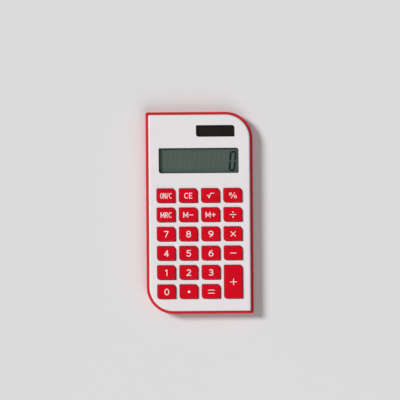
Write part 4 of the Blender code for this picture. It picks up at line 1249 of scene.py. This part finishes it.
# %% Mat and domes
SILICONE = Finish("silicone", (0.62, 0.62, 0.60), 0.55, Subsurface_Weight=0.15)
SILICONE.shader.inputs["Subsurface Radius"].default_value = (0.001, 0.001, 0.001)
SILICONE.toned(SILICONE.noise(70, 3), (0.58, 0.58, 0.56), (0.66, 0.66, 0.64))
SILICONE.glossed(SILICONE.noise(900, 3), 0.45, 0.65)
SILICONE.raised(SILICONE.noise(6000, 3), 0.01 * MM)

MAT_LOW, DOME_HIGH = heights_of("dome_mat")
MAT_HIGH = MAT_LOW + 0.8 * MM
MAT_CORNER = 1.0 * MM
DOME, DOME_TOP, DOME_WALL, PILL = 3.6 * MM, 2.2 * MM, 0.5 * MM, 1.0 * MM
DOME_SIDES = 40
PILL_DROP = 0.4 * MM


def mat_dome(node):
    """A dome: outside, radius falls from DOME to DOME_TOP as half a cosine wave while the height rises."""
    rise = np.linspace(0, 1, 13)
    fall = (1 - np.cos(np.pi * rise)) / 2
    outside = np.column_stack([DOME - (DOME - DOME_TOP) * fall, MAT_HIGH + (DOME_HIGH - MAT_HIGH) * rise])
    roof = DOME_HIGH - DOME_WALL
    inside = np.column_stack([outside[:, 0] - DOME_WALL, MAT_HIGH + (roof - MAT_HIGH) * rise])[::-1]
    profile = [(PILL, roof - PILL_DROP), (PILL, roof), *inside, *outside, (0.2 * DOME_TOP, DOME_HIGH)]
    return [turned(profile, middle_of(node), DOME_SIDES)]


def mat_ring(inset, height):
    """The mat's outline, drawn in by the inset."""
    size = size_of("dome_mat")
    return lifted(leaf(size.x, size.y, MAT_CORNER, MAT_CORNER, inset, middle_of("dome_mat")), height)


def throat(node):
    """The rings of the hole under a dome."""
    inside = DOME - DOME_WALL
    return turned_rings([(inside, MAT_LOW), (inside, MAT_HIGH)], middle_of(node), DOME_SIDES)


edge = [mat_ring(0.0, MAT_LOW), mat_ring(0.0, MAT_HIGH - LIP), mat_ring(LIP, MAT_HIGH)]
throats = [throat(name) for name in KEY_NAMES]
mat = [skin(edge)] + [skin(rings) for rings in throats]
mat.append(sheet(edge[0], [rings[0] for rings in throats], MAT_LOW))
mat.append(sheet(edge[-1], [rings[-1] for rings in throats], MAT_HIGH))
piece("rubber_sheet", mat, SILICONE.material, stands_for="dome_mat")
for name in KEY_NAMES:
    dome = piece(f"dome_under_{name}", mat_dome(name), SILICONE.material)
    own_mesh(dome)
print("domes:", len(KEY_NAMES))

# %% [markdown]
# ## The button cell
# Can, sealing ring and cap are turned shapes. The can's edge is drawn round and its bottom is
# slightly sunk, as pressed steel is.

# %% Button cell
CELL_STEEL = Finish("cell_steel", (0.62, 0.61, 0.58), 0.25, Metallic=1.0)
drawn_lines = CELL_STEEL.noise(1800, 3, (0.05, 1.0, 1.0))
CELL_STEEL.toned(CELL_STEEL.noise(500, 3), (0.55, 0.54, 0.51), (0.70, 0.69, 0.66))
CELL_STEEL.glossed(drawn_lines, 0.14, 0.34)
CELL_STEEL.raised(drawn_lines, 0.004 * MM)
SEAL = moulded("seal_plastic", (0.02, 0.02, 0.022), 0.6, 5000, 0.01 * MM, 0.2)

CELL_EDGE = 0.35 * MM
CELL_SKIN, CELL_STEP, CELL_SINK = 0.6 * MM, 0.5 * MM, 0.06 * MM
SEAL_GAP = 0.2 * MM
CELL_SIDES = 96


def can_profile(radius, low, high):
    """Up round the outside from the sunk bottom, over the crimped rim and down into the cup."""
    cup, sunk = radius - CELL_SKIN, low + CELL_SINK
    foot = [(0.1 * radius, sunk), (0.8 * radius, sunk), (0.84 * radius, low)]

    def side(inset, height):
        return radius - inset, height

    rim = edge_above(side, CELL_EDGE / 2, high, 5) + [(cup, high), (cup, high - CELL_STEP)]
    return foot + edge_below(side, CELL_EDGE, low, 6) + rim


def cap_profile(radius, low, high):
    """Up the cap's side, over its round shoulder and in to the middle."""
    shoulder = edge_above(lambda inset, height: (radius - inset, height), CELL_EDGE / 2, high, 5)
    return [(radius, low), *shoulder, (0.1 * radius, high)]


def ring_profile(radius, low, high):
    """A square-cut ring round the cap, back to where it began."""
    inner = size_of("cell_cap").x / 2 + SEAL_GAP
    return [(inner, low), (radius, low), (radius, high), (inner, high), (inner, low)]


for kind, profile_of in (("can", can_profile), ("cap", cap_profile), ("ring", ring_profile)):
    sealing = kind == "ring"
    node = "cell_seal" if sealing else f"cell_{kind}"
    profile = profile_of(size_of(node).x / 2, *heights_of(node))
    shape = turned(profile, middle_of(node), CELL_SIDES, not sealing, not sealing)
    piece(f"{kind}_of_cell", [shape], SEAL if sealing else CELL_STEEL.material, stands_for=node)
print("cell:", round(size_of("cell_can").x / MM, 1), "mm across")

# %% [markdown]
# ## Plain pieces inside
# The rest of the inside is already the right shape in the packed model, so those nodes stay and get
# a finish each. The board shows copper under green lacquer, the zebra connector its fine stripes,
# the contacts their nickel, and the wires their drawn plastic.

# %% Finishes inside


def board_finish():
    """Green lacquer with paler, raised tracks, which are the thin joints of a brick pattern."""
    finish = Finish("board_laminate", (0.05, 0.20, 0.06), 0.4)
    bricks = finish.node("ShaderNodeTexBrick", offset=0.35, squash=0.7)
    layout = {"Scale": 220.0, "Mortar Size": 0.03, "Brick Width": 0.9, "Row Height": 0.28}
    for socket, value in layout.items():
        bricks.inputs[socket].default_value = value
    finish.link(finish.place, bricks.inputs["Vector"])
    tracks = finish.mixed(bricks.outputs["Fac"], (0.030, 0.17, 0.045), (0.10, 0.30, 0.10))
    shade = finish.fitted(finish.noise(40, 3), 0.3, 0.7, 0.0, 0.35)
    finish.colour(finish.mixed(shade, tracks, (0.02, 0.12, 0.03)))
    finish.glossed(finish.noise(500, 3), 0.30, 0.50)
    finish.raised(bricks.outputs["Fac"], 0.02 * MM)
    return finish.material


def zebra_finish():
    """Silicone with conducting layers every fifth of a millimetre across X."""
    finish = Finish("zebra_rubber", (0.3, 0.2, 0.22), 0.55)
    wave = finish.maths("FRACT", finish.maths("MULTIPLY", finish.axis(0), 5000.0))
    finish.colour(finish.mixed(finish.fitted(wave, 0.45, 0.55), (0.45, 0.26, 0.28), (0.02, 0.02, 0.02)))
    finish.glossed(finish.noise(900, 2), 0.5, 0.65)
    finish.raised(wave, 0.005 * MM)
    return finish.material


def rolled(name, dark, light, stretch):
    """Rolled metal: noise drawn out along one axis shifts its tone and gloss."""
    finish = Finish(name, light, 0.3, Metallic=1.0)
    grain = finish.noise(2200, 4, stretch)
    finish.toned(grain, dark, light)
    finish.glossed(grain, 0.2, 0.42)
    finish.raised(grain, 0.005 * MM)
    return finish.material


CONTACT = rolled("contact_metal", (0.60, 0.57, 0.48), (0.74, 0.71, 0.62), (1.0, 0.06, 1.0))
INSIDE = {
    "main_board": board_finish(),
    "zebra_connector": zebra_finish(),
    "lcd_rear_glass": GLASS.material,
    "lcd_reflector": rolled("reflector_film", (0.52, 0.55, 0.52), (0.66, 0.69, 0.66), (1.0, 0.05, 1.0)),
    "chip_blob": moulded("black_resin", (0.012, 0.012, 0.014), 0.35, 1500, 0.03 * MM, 0.2),
    "smoothing_capacitor": moulded("ceramic_part", (0.30, 0.20, 0.12), 0.45, 4000, 0.01 * MM, 0.1),
    "clamp_diode": moulded("diode_resin", (0.03, 0.03, 0.032), 0.5, 3000, 0.01 * MM, 0.15),
    "cell_contact_cap": CONTACT,
    "cell_contact_side": CONTACT,
    "solar_wire_plus": moulded("red_wire", (0.52, 0.012, 0.012), 0.4, 2600, 0.01 * MM, 0.08),
    "solar_wire_minus": moulded("black_wire", (0.016, 0.016, 0.017), 0.4, 2600, 0.01 * MM, 0.15),
}
for name, material in INSIDE.items():
    NODES[name].data.materials.clear()
    NODES[name].data.materials.append(material)
print("inside:", len(INSIDE), "nodes with finishes")

# %% [markdown]
# ## The foam strip
# A strip of foam behind the display presses the glass and its zebra connector together. Squeezed
# between two flat faces it stays flat above and below, and its sides bulge. So it is a stack of
# outlines that is widest at half its height.

# %% Foam strip
FOAM_BULGE, FOAM_CORNER, FOAM_STEPS = 0.15 * MM, 0.5 * MM, 12


def foam_finish():
    """Open cells: the distance to the nearest point of a Voronoi pattern lightens and raises it, so each
    cell's pit is painted darker as shade.
    """
    finish = Finish("foam", (0.04, 0.04, 0.042), 0.95)
    cells = finish.node("ShaderNodeTexVoronoi")
    cells.inputs["Scale"].default_value = 3500.0
    finish.link(finish.place, cells.inputs["Vector"])
    share = finish.fitted(cells.outputs["Distance"], 0, 0.6)
    # Each cell's low middle is painted darker: painted shade in its pit.
    finish.colour(finish.mixed(share, (0.015, 0.015, 0.016), (0.07, 0.07, 0.07)))
    finish.glossed(finish.noise(800, 2), 0.85, 1.0)
    finish.raised(cells.outputs["Distance"], 0.08 * MM)
    return finish.material


def pressed_foam(node):
    """Outlines drawn in by FOAM_BULGE times (1 - sin(pi t)), where t goes from 0 at the foot to 1."""
    size, centre, foot = size_of(node), middle_of(node), heights_of(node)[0]

    def ring(share):
        inset = FOAM_BULGE * (1 - np.sin(np.pi * share))
        return lifted(leaf(size.x, size.y, FOAM_CORNER, FOAM_CORNER, inset, centre), foot + size.z * share)

    return [skin([ring(share) for share in np.linspace(0, 1, FOAM_STEPS + 1)], first=True, last=True)]


pad = "lcd_foam_pad"
foam = piece("foam_strip", pressed_foam(pad), foam_finish(), stands_for=pad)
print("foam:", round(size_of(pad).z / MM, 2), "mm thick")

# %% [markdown]
# ## Floor
# The floor is not part of the object. It is a wide pale square a hair below the tub, so that the
# two surfaces never share a plane.

# %% Floor
FLOOR_HALF = 4.0
FLOOR_DROP = 0.05 * MM
pale = Finish("pale_floor", (0.77, 0.77, 0.77), 0.9, Specular_IOR_Level=0.1)
pale.toned(pale.noise(3, 2), (0.760, 0.758, 0.758), (0.770, 0.768, 0.768))
corners = np.array([(-1, -1), (1, -1), (1, 1), (-1, 1)]) * FLOOR_HALF
floor_data = bpy.data.meshes.new("floor")
floor_data.from_pydata(lifted(corners, -FLOOR_DROP), [], [(0, 1, 2, 3)])
floor_data.materials.append(pale.material)
floor = bpy.data.objects.new("floor", floor_data)
bpy.context.scene.collection.objects.link(floor)
print("floor:", 2 * FLOOR_HALF, "m wide")

# %% [markdown]
# ## Last count
# The pieces and their triangles are counted, and both numbers are printed.

# %% Piece count
triangles = sum(len(face.vertices) - 2 for item in PIECES for face in item.data.polygons)
print("pieces:", len(PIECES), "with", triangles, "triangles")
